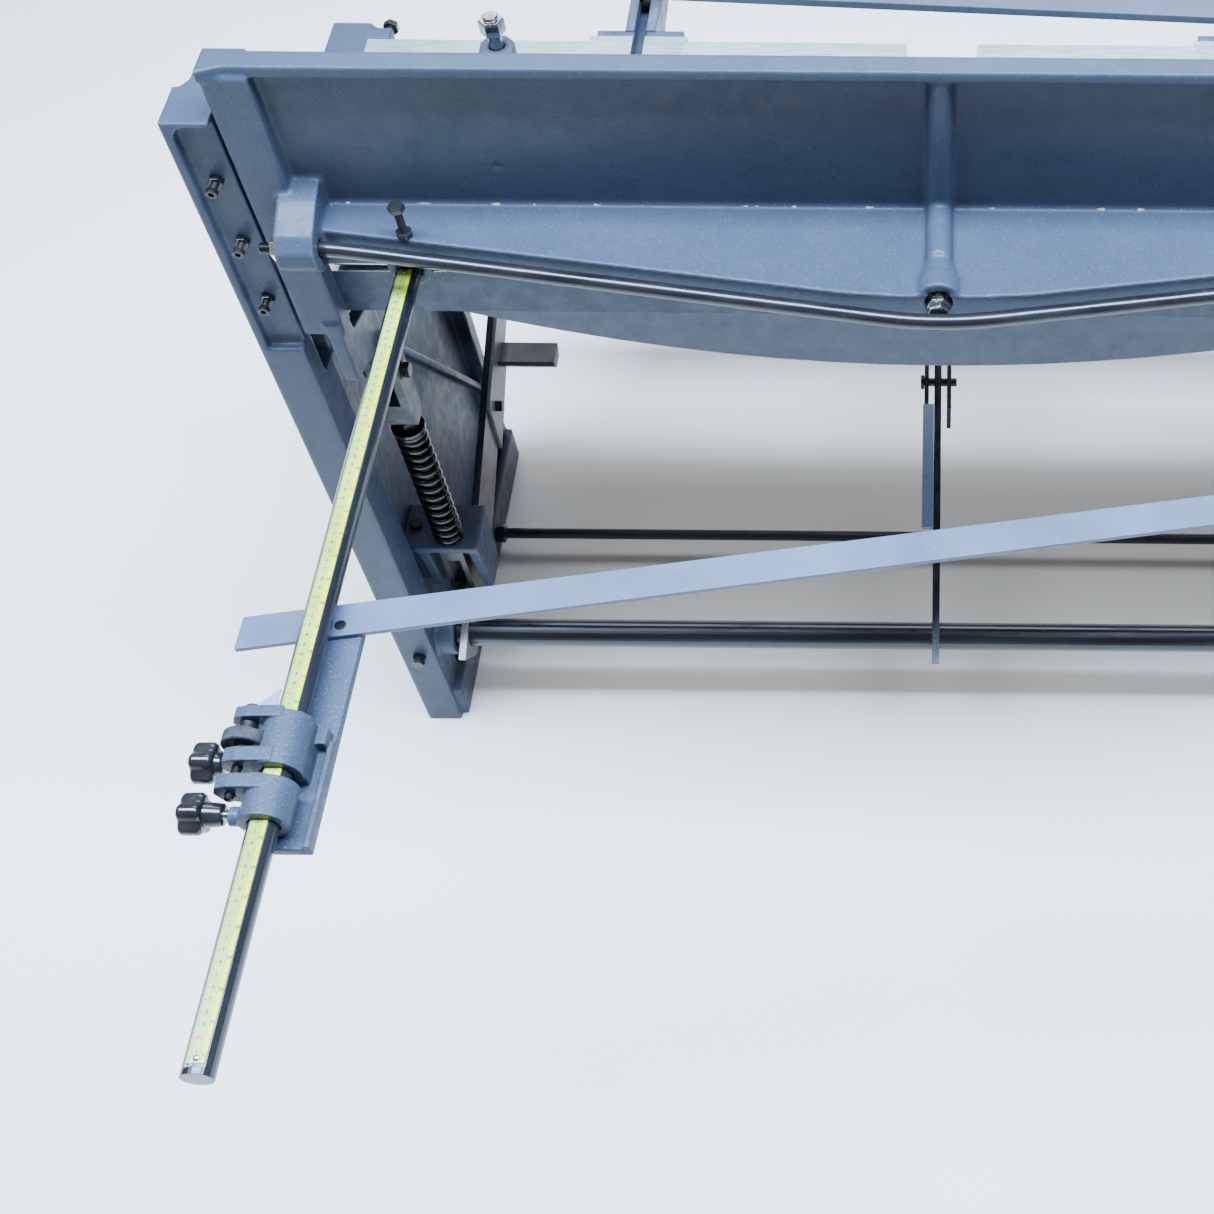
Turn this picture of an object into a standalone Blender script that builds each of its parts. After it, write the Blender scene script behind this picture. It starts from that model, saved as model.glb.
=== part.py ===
"""Foot-operated squaring shear for sheet metal, 52 inch class, as separate sub-parts.

Metres, +Z up. The operator stands at -Y and the back gauge reaches out at +Y. Lengths called t are
measured forward (towards -Y) from the rear faces of the two stands. The origin is on the floor,
under the middle of the machine. Pieces named "right" are at +X, as seen from behind the machine
they are on the left hand.
"""

import math

import bmesh
import bpy
from mathutils import Matrix, Vector

# ---- driving dimensions ------------------------------------------------------------------------
REAR_Y = -0.016  # Y of the stands' rear faces, which puts the origin under the middle
GAP = 0.0003  # clearance kept between pieces that touch

STAND_IN, STAND_OUT = 0.684, 0.731  # X of a stand's inner and outer faces
STAND_DEPTH, STAND_TOP = 0.502, 1.065
WEB_IN, WEB_OUT = 0.706, 0.718  # X of the thin wall of a stand
GROOVE = (0.030, 0.062)  # t of the groove that guides the crosshead
GROOVE_BOTTOM = 0.700
TIE_T, TIE_Z = 0.311, 0.036  # the low tie rod

TABLE_TOP, TABLE_FRONT = 0.834, 0.440
BOSS_FRONT = 0.4495  # t of the table's front bosses
BED_END = 0.6835
SHEAR_T = 0.048  # t of the shearing plane
BLADE_HALF = 0.668
OPENING, RAKE = 0.006, 0.0140  # lowest gap under the upper blade, and its slope
ARM_X = 0.361  # X of the front support arms
ARM_END = 0.8115
JACK_X, JACK_Z = 0.668, 0.818  # the screws that set the bed

HEAD_HALF, HEAD_TOP = 0.678, 1.123
HEAD_WEB = (0.0225, 0.033)  # t of the crosshead's upright wall
SHELF = (0.927, 0.951)  # Z of the crosshead's shelf
PANEL_EDGE = 0.634

TRUSS_Z, TRUSS_R = 0.939, 0.0078
TRUSS_MIDDLE_T, TRUSS_END_T, TRUSS_END_X = -0.1270, -0.0305, 0.598
TRUSS_FLAT = 0.028  # half of the rod's straight middle, where the jack screw presses
LUG_X = (0.607, 0.646)
SHELF_EDGE = 0.0125  # from the truss rod's centre line to the shelf's rear edge
BOSS_T = -0.0985  # rear face of the middle boss

ROD_X, ROD_Z, ROD_R = 0.540, 0.882, 0.0127  # the back gauge's rods
ROD_END_T = -0.8435
ROD_FLAT = ROD_Z + 0.0100  # the flat on top of a rod, for its scale
CLAMP_X, CLAMP_T = 0.523, -0.0235  # the bolts that clamp the rods
BAR_SHIFT = 0.1836  # how much further forward the left slide is set
PLATE_Z = (0.8507, 0.8607)  # the slides' arm plates
PLATE_X = 0.5065
SLIDE_KNOB_T, COLLAR_KNOB_T = -0.5795, -0.6265
BAR_MIDDLE_T = -0.3325  # the gauge bar's centre line at X = 0
EAR_X, EAR_Z = 0.5705, 0.890  # the fine adjustment screw's axis
WHEEL_R = 0.018  # its knurled wheel

SHAFT_T, SHAFT_Z, SHAFT_R = 0.0415, 0.163, 0.019  # the treadle's shaft
PULL_X, PULL_T = 0.645, 0.092  # the pull rods
SEAT_TOP = 0.318  # top of the return springs' seats
SPRING_TOP = 0.532
ARM_SLOPE = math.tan(math.radians(20.0))
HOLD_X, HOLD_T = 0.4175, 0.074  # the hold-down's rods


def y_at(t):
    return REAR_Y - t


def place(x, t, z):
    return Vector((x, y_at(t), z))


# ---- building blocks ---------------------------------------------------------------------------
def clear_scene():
    for old in list(bpy.data.objects):
        bpy.data.objects.remove(old, do_unlink=True)


def collection(name):
    made = bpy.data.collections.new(name)
    bpy.context.scene.collection.children.link(made)
    return made


clear_scene()
PARTS = collection("squaring_shear")


def material(name, colour, roughness, metallic):
    made = bpy.data.materials.new(name)
    made.use_nodes = True
    shader = made.node_tree.nodes["Principled BSDF"]
    shader.inputs["Base Color"].default_value = (*colour, 1.0)
    shader.inputs["Roughness"].default_value = roughness
    shader.inputs["Metallic"].default_value = metallic
    return made


PAINT = material("gray_paint", (0.10, 0.12, 0.17), 0.45, 0.0)
GROUND = material("ground_steel", (0.55, 0.66, 0.66), 0.35, 0.9)
BLADE = material("blade_steel", (0.42, 0.43, 0.45), 0.25, 1.0)
BLACK = material("black_rod", (0.02, 0.022, 0.028), 0.22, 0.6)
OXIDE = material("black_oxide", (0.03, 0.03, 0.032), 0.4, 0.7)
PLATED = material("plated_steel", (0.72, 0.72, 0.70), 0.25, 1.0)
SCALE = material("scale_yellow", (0.62, 0.70, 0.20), 0.45, 0.0)
KNOB = material("knob_black", (0.012, 0.012, 0.014), 0.15, 0.0)
BAR = material("bar_paint", (0.22, 0.30, 0.42), 0.35, 0.1)


def new_object(name, mesh):
    made = bpy.data.objects.new(name, mesh)
    PARTS.objects.link(made)
    return made


def from_bmesh(bm):
    bmesh.ops.recalc_face_normals(bm, faces=bm.faces)
    mesh = bpy.data.meshes.new("shape")
    bm.to_mesh(mesh)
    bm.free()
    return new_object("shape", mesh)


def block(xs, ts, zs):
    """A box between two X, two t and two Z."""
    size = (abs(xs[1] - xs[0]), abs(ts[1] - ts[0]), abs(zs[1] - zs[0]))
    middle = place(sum(xs) / 2, sum(ts) / 2, sum(zs) / 2)
    bm = bmesh.new()
    bmesh.ops.create_cube(bm, size=1.0)
    bmesh.ops.transform(bm, verts=bm.verts, matrix=Matrix.Translation(middle) @ Matrix.Diagonal((*size, 1)))
    return from_bmesh(bm)


def rod(start, end, radius, sides=20, end_radius=None):
    """A cylinder, cone or (with six sides) hexagon between two points given as (x, t, z)."""
    a, b = place(*start), place(*end)
    far = radius if end_radius is None else end_radius
    bm = bmesh.new()
    bmesh.ops.create_cone(
        bm, cap_ends=True, segments=sides, radius1=radius, radius2=far, depth=(b - a).length
    )
    turn = (b - a).to_track_quat("Z", "Y").to_matrix().to_4x4()
    bmesh.ops.transform(bm, verts=bm.verts, matrix=Matrix.Translation((a + b) / 2) @ turn)
    return from_bmesh(bm)


OUTLINE_TURNS = {  # local X, Y and Z of an outline, as world directions
    "X": ((0, -1, 0), (0, 0, 1), (-1, 0, 0)),  # points are (t, z)
    "Y": ((1, 0, 0), (0, 0, 1), (0, -1, 0)),  # points are (x, z)
    "Z": ((1, 0, 0), (0, -1, 0), (0, 0, -1)),  # points are (x, t)
}


def plate(points, axis, span):
    """A flat outline made solid along one axis, between the two values of span (t along Y)."""
    curve = bpy.data.curves.new("outline", "CURVE")
    curve.dimensions = "2D"
    curve.fill_mode = "BOTH"
    curve.extrude = abs(span[1] - span[0]) / 2
    spline = curve.splines.new("POLY")
    spline.points.add(len(points) - 1)
    for point, (u, v) in zip(spline.points, points):
        point.co = (u, v, 0, 1)
    spline.use_cyclic_u = True
    middle = sum(span) / 2
    turn = Matrix([[*row, 0] for row in zip(*OUTLINE_TURNS[axis])] + [[0, 0, 0, 1]])
    offset = {
        "X": Vector((middle, REAR_Y, 0)),
        "Y": Vector((0, y_at(middle), 0)),
        "Z": Vector((0, REAR_Y, middle)),
    }[axis]
    return curve_to_mesh(curve, Matrix.Translation(offset) @ turn)


def curve_to_mesh(curve, matrix):
    guide = new_object("guide", curve)
    guide.matrix_world = matrix
    bpy.context.view_layer.update()
    graph = bpy.context.evaluated_depsgraph_get()
    mesh = bpy.data.meshes.new_from_object(guide.evaluated_get(graph))
    bpy.data.objects.remove(guide, do_unlink=True)
    bm = bmesh.new()
    bm.from_mesh(mesh)
    bpy.data.meshes.remove(mesh)
    bmesh.ops.remove_doubles(bm, verts=bm.verts, dist=1e-6)
    bmesh.ops.transform(bm, verts=bm.verts, matrix=matrix)
    return from_bmesh(bm)


def wire(points, radius, detail=2):
    """A round bar along world points."""
    curve = bpy.data.curves.new("wire", "CURVE")
    curve.dimensions = "3D"
    curve.bevel_depth = radius
    curve.bevel_resolution = detail
    curve.use_fill_caps = True
    spline = curve.splines.new("POLY")
    spline.points.add(len(points) - 1)
    for point, co in zip(spline.points, points):
        point.co = (*co, 1)
    return curve_to_mesh(curve, Matrix.Identity(4))


def combine(base, others, operation):
    """Joins the others to the base, or cuts them from it, in one Boolean."""
    tools = bpy.data.collections.new("tools")
    for other in others:
        tools.objects.link(other)
    modifier = base.modifiers.new("combine", "BOOLEAN")
    modifier.operation = operation
    modifier.solver = "EXACT"
    modifier.operand_type = "COLLECTION"
    modifier.collection = tools
    bpy.context.view_layer.update()
    graph = bpy.context.evaluated_depsgraph_get()
    mesh = bpy.data.meshes.new_from_object(base.evaluated_get(graph))
    base.modifiers.clear()
    base.data = mesh
    for other in others:
        bpy.data.objects.remove(other, do_unlink=True)
    bpy.data.collections.remove(tools)
    return base


def union(base, *others):
    return combine(base, others, "UNION")


def cut(base, *others):
    return combine(base, others, "DIFFERENCE")


def finish(shape, name, look):
    """Names a finished shape, gives it its material and smooths its round faces."""
    shape.name = name
    shape.data.name = name
    shape.data.materials.clear()
    shape.data.materials.append(look)
    for face in shape.data.polygons:
        face.material_index = 0
    shape.data.shade_smooth()
    shape.data.set_sharp_from_angle(angle=math.radians(32))
    return shape


def mirrored(original, name, shift_t=0.0):
    """The piece's twin on the other side, moved forward by shift_t."""
    mesh = original.data.copy()
    mesh.transform(Matrix.Translation((0, -shift_t, 0)) @ Matrix.Diagonal((-1, 1, 1, 1)))
    mesh.flip_normals()
    mesh.name = name
    return new_object(name, mesh)


def pair(shape, stem, look, shift_t=0.0):
    right = finish(shape, stem + "_right", look)
    return right, mirrored(right, stem + "_left", shift_t)


def joint_frame(name, location, pieces):
    """An empty on a joint's axis that carries the pieces which move with it."""
    empty = bpy.data.objects.new(name, None)
    PARTS.objects.link(empty)
    empty.location = location
    bpy.context.view_layer.update()
    for piece in pieces:
        piece.parent = empty
        piece.matrix_parent_inverse = empty.matrix_world.inverted()
    return empty


# ---- frame -------------------------------------------------------------------------------------
def stand():
    """A cast side frame: column with the crosshead's guide groove, wall, flanges, rib and foot."""
    rib_top_t, rib_bottom_t = 0.115, 0.489
    rib_z = {rib_top_t: 0.709, rib_bottom_t: 0.176}
    shape = block((STAND_IN, STAND_OUT), (0, 0.055), (0, STAND_TOP))
    wall = [
        (0.050, 0.001),
        (0.050, STAND_TOP - 0.001),
        (0.114, STAND_TOP - 0.001),
        (0.114, TABLE_TOP - 0.001),
        (0.468, TABLE_TOP - 0.001),
        (0.489, 0.811),
        (0.489, 0.001),
    ]
    rib = [
        (rib_top_t, rib_z[rib_top_t]),
        (rib_bottom_t, rib_z[rib_bottom_t]),
        (rib_bottom_t, rib_z[rib_bottom_t] - 0.018),
        (rib_top_t, rib_z[rib_top_t] - 0.018),
    ]
    front = [(0.488, 0), (STAND_DEPTH, 0), (STAND_DEPTH, 0.80), (0.470, TABLE_TOP), (0.455, TABLE_TOP)]
    shape = union(
        shape,
        plate(wall, "X", (WEB_IN, WEB_OUT)),
        block((STAND_IN + 0.0002, WEB_OUT + 0.0004), (0.052, 0.115), (GROOVE_BOTTOM - 0.010, STAND_TOP - 0.0004)),
        plate(rib, "X", (0.692, WEB_OUT - 0.002)),
        plate(front, "X", (STAND_IN, STAND_OUT)),
        block((STAND_IN, STAND_OUT), (0.113, 0.472), (0.812, TABLE_TOP)),
        block((0.6585, STAND_OUT - 0.002), (0.4425, 0.4640), (0.8004, TABLE_TOP - 0.0004)),
        plate([(0.716, 0.050), (0.7304, 0.051), (0.7164, 0.071)], "Z", (GROOVE_BOTTOM, STAND_TOP - 0.0008)),
        block((0.6745, STAND_OUT - 0.0004), (0.0115, 0.4985), (0.0004, 0.014)),
        block((0.674, 0.686), (0.010, 0.500), (0, 0.062)),
        rod((0.658, SHAFT_T, SHAFT_Z), (0.690, SHAFT_T, SHAFT_Z), 0.031, 24),
    )
    return cut(
        shape,
        block((STAND_IN - 0.01, 0.708), GROOVE, (GROOVE_BOTTOM, STAND_TOP - 0.0035)),
        block((STAND_IN - 0.01, 0.722), (-0.01, 0.012), (0.764, 1.043)),
        block((STAND_IN - 0.01, 0.706), (-0.01, 0.012), (1.040, 1.059)),
        rod((0.706, -0.01, 1.043), (0.706, 0.012, 1.043), 0.016, 32),
        rod((0.640, SHAFT_T, SHAFT_Z), (0.7185, SHAFT_T, SHAFT_Z), SHAFT_R + GAP, 32),
        rod((0.66, TIE_T, TIE_Z), (0.70, TIE_T, TIE_Z), 0.0088, 16),
        rod((JACK_X, 0.43, JACK_Z), (JACK_X, 0.48, JACK_Z), 0.0053, 16),
    )


def spring_seat():
    """The bracket bolted to a side frame's wall that the return spring stands on."""
    back = WEB_IN - GAP
    cheek = [(0.069, 0.309), (0.143, 0.309), (0.128, 0.215), (0.084, 0.215)]
    shape = union(
        block((0.605, back), (0.069, 0.143), (SEAT_TOP - 0.012, SEAT_TOP)),
        plate(cheek, "X", (0.605, 0.619)),
        plate(cheek, "X", (0.672, 0.686)),
        block((0.684, back - 0.0002), (0.084, 0.128), (0.230, 0.310)),
    )
    return cut(shape, rod((PULL_X, PULL_T, 0.2), (PULL_X, PULL_T, 0.4), 0.0105, 20))


def bed():
    """The table with its fish-belly rear apron, end flanges, arm bosses, T-slots and front notch."""
    belly_r, belly_z, end_z = 1.71, 0.6767, 0.782
    arc_end = math.sqrt(2 * belly_r * (end_z - belly_z))
    arc = [(arc_end * i / 10, belly_z + (arc_end * i / 10) ** 2 / (2 * belly_r)) for i in range(-10, 11)]
    reach = BED_END - 0.001
    outline = [(-reach, end_z), *arc, (reach, end_z), (reach, 0.830), (-reach, 0.830)]
    shape = block((-BED_END, BED_END), (0.0663, TABLE_FRONT), (0.810, TABLE_TOP))
    pieces = [
        plate(outline, "Y", (0.0668, 0.082)),
        block((-0.60, 0.60), (0.392, 0.408), (0.735, 0.812)),
        block((-0.008, 0.008), (0.080, 0.395), (0.740, 0.812)),
    ]
    for side in (-1, 1):
        pieces += [
            block(sorted((side * 0.668, side * (BED_END - 0.0005))), (0.0674, 0.4085), (0.736, 0.813)),
            block(sorted((side * 0.303, side * 0.419)), (0.432, BOSS_FRONT), (0.780, TABLE_TOP)),
            block(sorted((side * 0.340, side * 0.382)), (0.100, 0.430), (0.790, 0.812)),
        ]
    shape = union(shape, *pieces)
    cutters = [block((-0.0435, 0.0410), (0.412, 0.455), (0.780, 0.850))]
    for side in (-1, 1):
        x = side * ARM_X
        cutters += [
            block((x - 0.007, x + 0.007), (0.130, 0.455), (0.818, 0.850)),
            block((x - 0.012, x + 0.012), (0.128, 0.456), (0.806, 0.8185)),
        ]
    return cut(shape, *cutters)


def support_arm():
    """A T-slotted arm that carries a long sheet in front of the table."""
    x = ARM_X
    start = BOSS_FRONT + GAP
    shape = block((x - 0.052, x + 0.052), (start, start + 0.016), (0.784, TABLE_TOP - 0.004))
    side = [
        (start + 0.012, TABLE_TOP),
        (ARM_END, TABLE_TOP),
        (ARM_END, 0.806),
        (0.620, 0.798),
        (start + 0.012, 0.778),
    ]
    shape = union(shape, plate(side, "X", (x - 0.018, x + 0.018)))
    return cut(
        shape,
        block((x - 0.007, x + 0.007), (0.44, 0.796), (0.818, 0.850)),
        block((x - 0.012, x + 0.012), (0.44, 0.796), (0.808, 0.8185)),
    )


def jack_screw():
    """The screw in a stand's front hook that sets the bed, and so the blades' clearance."""
    return union(
        rod((JACK_X, TABLE_FRONT + GAP, JACK_Z), (JACK_X, 0.484, JACK_Z), 0.005, 16),
        rod((JACK_X, 0.480, JACK_Z), (JACK_X, 0.4885, JACK_Z), 0.0095, 6),
    )


def build_frame():
    pair(stand(), "stand", PAINT)
    pair(spring_seat(), "spring_seat", PAINT)
    finish(bed(), "bed", GROUND)
    finish(
        block((-BLADE_HALF, BLADE_HALF), (SHEAR_T, 0.066), (0.776, TABLE_TOP)), "lower_blade", BLADE
    )
    gib = block((STAND_IN + 0.0005, 0.7075), (GROOVE[0] + GAP, 0.0362), (0.790, 1.058))
    pair(gib, "gib", BLADE)
    tie = union(
        rod((-0.694, TIE_T, TIE_Z), (0.694, TIE_T, TIE_Z), 0.008, 16),
        *[rod((side * 0.6737, TIE_T, TIE_Z), (side * 0.660, TIE_T, TIE_Z), 0.0145, 6) for side in (-1, 1)],
    )
    finish(tie, "tie_rod", BLACK)
    pair(support_arm(), "support_arm", PAINT)
    pair(jack_screw(), "bed_jack_screw", OXIDE)


# ---- front gauge -------------------------------------------------------------------------------
def lobed(radius, depth, lobes, count):
    """Points of a knob's lobed rim."""
    for i in range(count):
        angle = 2 * math.pi * i / count
        r = radius - depth * (0.5 - 0.5 * math.cos(lobes * angle))
        yield r * math.cos(angle), r * math.sin(angle)


def front_gauge():
    """A flat bar across the support arms, set a little askew, and its two lock knobs."""
    z = TABLE_TOP + GAP
    skew = 0.0568
    rear, width, half = 0.5002, 0.050, 0.455

    def t_of(x):
        return rear + skew * x

    outline = [
        (-half, t_of(-half)),
        (half, t_of(half)),
        (half, t_of(half) + width),
        (-half, t_of(-half) + width),
    ]
    bar = finish(plate(outline, "Z", (z, z + 0.010)), "front_gauge_bar", BAR)
    knobs = []
    for side, name in ((1, "right"), (-1, "left")):
        x = side * ARM_X
        t = t_of(x) + width / 2
        rim = [(x + u, t + v) for u, v in lobed(0.020, 0.004, 5, 30)]
        low = z + 0.010 + GAP
        knob = union(rod((x, t, low), (x, t, low + 0.014), 0.011, 16), plate(rim, "Z", (low + 0.012, low + 0.028)))
        knobs.append(finish(knob, "front_gauge_knob_" + name, KNOB))
        joint_frame("front_knob_axis_" + name, place(x, t, low), [knobs[-1]])
    joint_frame("front_gauge_axis", place(0, rear, z), [bar])


# ---- crosshead ---------------------------------------------------------------------------------
def truss_t(x):
    """t of the truss rod's centre line at X."""
    share = min(abs(x) / TRUSS_END_X, 1.0)
    return TRUSS_MIDDLE_T + (TRUSS_END_T - TRUSS_MIDDLE_T) * share


def blade_edge(x):
    """Height of the upper blade's raked cutting edge at X."""
    return TABLE_TOP + OPENING + RAKE * (x + BLADE_HALF)


def crosshead():
    """The moving beam: wall, top flange, tapering shelf, end slides, middle rib and lugs."""
    wall_half = HEAD_HALF - 0.001
    wall = [
        (-wall_half, blade_edge(-wall_half) + 0.010),
        (wall_half, blade_edge(wall_half) + 0.010),
        (wall_half, HEAD_TOP - 0.002),
        (-wall_half, HEAD_TOP - 0.002),
    ]
    flange_half = [(0.638, 0.034), (0.638, 0.037), (HEAD_HALF, 0.037), (HEAD_HALF, 0), (0.655, 0.009)]
    flange = flange_half + [(-x, t) for x, t in reversed(flange_half)]
    shelf_half = [
        (0.036, -0.1005),
        (0.090, -0.0965),
        (TRUSS_END_X, truss_t(TRUSS_END_X) + SHELF_EDGE),
        (0.632, -0.0155),
        (0.655, -0.0155),
        (0.655, 0.030),
    ]
    shelf = shelf_half + [(-x, t) for x, t in reversed(shelf_half)]
    lug = [
        (0.023, 0.984),
        (-0.004, 0.978),
        (-0.040, 0.963),
        (-0.053, 0.950),
        (-0.054, 0.934),
        (-0.042, 0.919),
        (-0.020, 0.914),
        (0.023, 0.914),
    ]
    hanger = [
        (0.001, 0.800),
        (0.032, 0.800),
        (0.036, 0.762),
        (0.104, 0.742),
        (0.108, 0.632),
        (0.100, 0.620),
        (0.084, 0.620),
        (0.076, 0.632),
        (0.070, 0.690),
        (0.001, 0.715),
    ]
    shape = plate(wall, "Y", HEAD_WEB)
    pieces = [
        plate(flange, "Z", (1.110, HEAD_TOP)),
        plate(shelf, "Z", SHELF),
        rod((0, HEAD_WEB[0], 0.945), (0, HEAD_WEB[0], 1.109), 0.0128, 20),
        rod((0, HEAD_WEB[0] + 0.004, SHELF[1] + 0.002), (0, -0.055, SHELF[1] + 0.002), 0.0131, 22),
        rod((0, -0.045, 0.9505), (0, BOSS_T + 0.020, 0.9415), 0.012, 20, 0.022),
        rod((0, BOSS_T + 0.022, 0.941), (0, BOSS_T, 0.941), 0.0233, 24),
    ]
    for side in (-1, 1):
        lug_span = sorted((side * LUG_X[0], side * LUG_X[1]))
        x_hold = side * HOLD_X
        pieces += [
            block(sorted((side * PANEL_EDGE, side * (HEAD_HALF - 0.0004))), (0.0044, 0.032), (0.782, 1.112)),
            block(sorted((side * 0.671, side * 0.683)), (0.029, 0.045), (0.869, 1.060)),
            block(sorted((side * 0.672, side * 0.706)), (0.037, GROOVE[1] - GAP), (0.868, 1.061)),
            block(sorted((side * 0.6845, side * 0.7056)), (0.0374, GROOVE[1] - 0.0008), (0.790, 0.900)),
            plate(lug, "X", lug_span),
            plate(hanger, "X", sorted((side * 0.6373, side * 0.6527))),
            rod((side * ROD_X, 0.024, ROD_Z), (side * ROD_X, 0.0, ROD_Z), 0.023, 24),
            rod((x_hold, HOLD_T, 1.068), (x_hold, HOLD_T, 1.100), 0.017, 20),
            block((x_hold - 0.0165, x_hold + 0.0165), (0.030, HOLD_T), (1.069, 1.0985)),
        ]
    shape = union(shape, *pieces)
    cutters = [
        rod((0, BOSS_T - 0.01, 0.941), (0, BOSS_T + 0.014, 0.941), 0.0135, 20),
        rod((0, BOSS_T, 0.941), (0, BOSS_T + 0.030, 0.941), 0.0063, 16),
        rod((0.43, 0, 0.999), (0.43, 0.03, 0.999), 0.003, 8),
    ]
    for side in (-1, 1):
        rod_bore = ROD_R + GAP
        cutters += [
            rod((side * ROD_X, -0.01, ROD_Z), (side * ROD_X, HEAD_WEB[0], ROD_Z), rod_bore, 28),
            rod((side * 0.59, TRUSS_END_T, TRUSS_Z), (side * 0.66, TRUSS_END_T, TRUSS_Z), 0.0086, 16),
            rod((side * HOLD_X, HOLD_T, 1.05), (side * HOLD_X, HOLD_T, 1.14), 0.0074, 20),
            rod((side * 0.63, PULL_T, 0.635), (side * 0.66, PULL_T, 0.635), 0.0063, 12),
        ]
    return cut(shape, *cutters)


def truss_rod():
    """The bent rod that stiffens the beam, with its threaded ends and nuts."""
    ends = [
        place(side * x, TRUSS_END_T, TRUSS_Z) for side, x in ((-1, LUG_X[1]), (-1, TRUSS_END_X))
    ]
    middle = [place(x, truss_t(x), TRUSS_Z) for x in (-TRUSS_FLAT, TRUSS_FLAT)]
    other = [Vector((-p.x, p.y, p.z)) for p in reversed(ends)]
    shape = wire([*ends, *middle, *other], TRUSS_R, 3)
    nuts = []
    for side in (-1, 1):
        nuts += [
            rod((side * 0.632, TRUSS_END_T, TRUSS_Z), (side * 0.667, TRUSS_END_T, TRUSS_Z), 0.006, 12),
            rod(
                (side * (LUG_X[1] + GAP), TRUSS_END_T, TRUSS_Z),
                (side * 0.6545, TRUSS_END_T, TRUSS_Z),
                0.0125,
                6,
            ),
        ]
    return union(shape, *nuts)


def jack_at_truss():
    """The hexagon screw and lock nut that tension the truss rod at the middle."""
    tip_t = truss_t(TRUSS_FLAT) + TRUSS_R + GAP
    z = 0.941
    return union(
        rod((0, BOSS_T + 0.028, z), (0, tip_t + 0.001, z), 0.006, 16),
        rod((0, BOSS_T + 0.0035, z), (0, BOSS_T - 0.0035, z), 0.0115, 6),
        rod((0, tip_t + 0.0085, z), (0, tip_t, z), 0.0112, 6),
    )


def gauge_rod():
    """A back gauge rod with the flat that its scale lies on."""
    shape = rod((ROD_X, HEAD_WEB[0] - GAP, ROD_Z), (ROD_X, ROD_END_T, ROD_Z), ROD_R, 28)
    return cut(shape, block((ROD_X - 0.02, ROD_X + 0.02), (-0.838, -0.008), (ROD_FLAT, ROD_FLAT + 0.01)))


def build_crosshead():
    head = finish(crosshead(), "crosshead", PAINT)
    edge = [
        (-0.655, blade_edge(-0.655)),
        (0.655, blade_edge(0.655)),
        (0.655, 0.925),
        (-0.655, 0.925),
    ]
    blade = finish(plate(edge, "Y", (HEAD_WEB[1] + GAP, SHEAR_T - GAP)), "upper_blade", BLADE)
    pieces = [head, blade, finish(truss_rod(), "truss_rod", BLACK)]
    pieces.append(finish(jack_at_truss(), "truss_jack_screw", PLATED))
    pieces += pair(gauge_rod(), "gauge_rod", BLACK)
    tape = block((ROD_X - 0.0070, ROD_X + 0.0070), (-0.835, -0.010), (ROD_FLAT + GAP, ROD_FLAT + 0.0007))
    pieces += pair(tape, "gauge_scale", SCALE)
    bolt = union(
        rod((CLAMP_X, CLAMP_T, SHELF[1] + GAP), (CLAMP_X, CLAMP_T, 0.985), 0.004, 12),
        rod((CLAMP_X, CLAMP_T, 0.983), (CLAMP_X, CLAMP_T, 0.990), 0.0088, 6),
    )
    pieces += pair(bolt, "rod_clamp_bolt", OXIDE)
    return pieces


def build_hold_down():
    """The bar that grips the sheet in front of the blades, on two sprung rods."""
    low = TABLE_TOP + OPENING + 0.0005
    profile = [
        (0.0500, low),
        (0.100, low),
        (0.100, low + 0.009),
        (0.084, low + 0.014),
        (0.082, 0.905),
        (0.060, 0.905),
        (0.058, low + 0.014),
        (0.0500, low + 0.014),
    ]
    bar = finish(plate(profile, "X", (-0.640, 0.640)), "hold_down", PAINT)
    post = union(
        rod((HOLD_X, HOLD_T, 0.905 + GAP), (HOLD_X, HOLD_T, 1.133), 0.007, 16),
        rod((HOLD_X, HOLD_T, 1.115), (HOLD_X, HOLD_T, 1.130), 0.0125, 6),
    )
    pieces = [bar, *pair(post, "hold_down_rod", PLATED)]
    joint_frame("hold_down_axis", place(0, HOLD_T, low), pieces)


# ---- pull rods ---------------------------------------------------------------------------------
def coil(x, t, low, high, turns, radius, wire_radius, per_turn):
    """A compression spring's helix, its wire's centre line from low to high."""
    points = []
    for i in range(turns * per_turn + 1):
        angle = 2 * math.pi * i / per_turn
        height = low + wire_radius + (high - low - 2 * wire_radius) * i / (turns * per_turn)
        points.append(place(x + radius * math.cos(angle), t + radius * math.sin(angle), height))
    return wire(points, wire_radius, 1)


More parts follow.
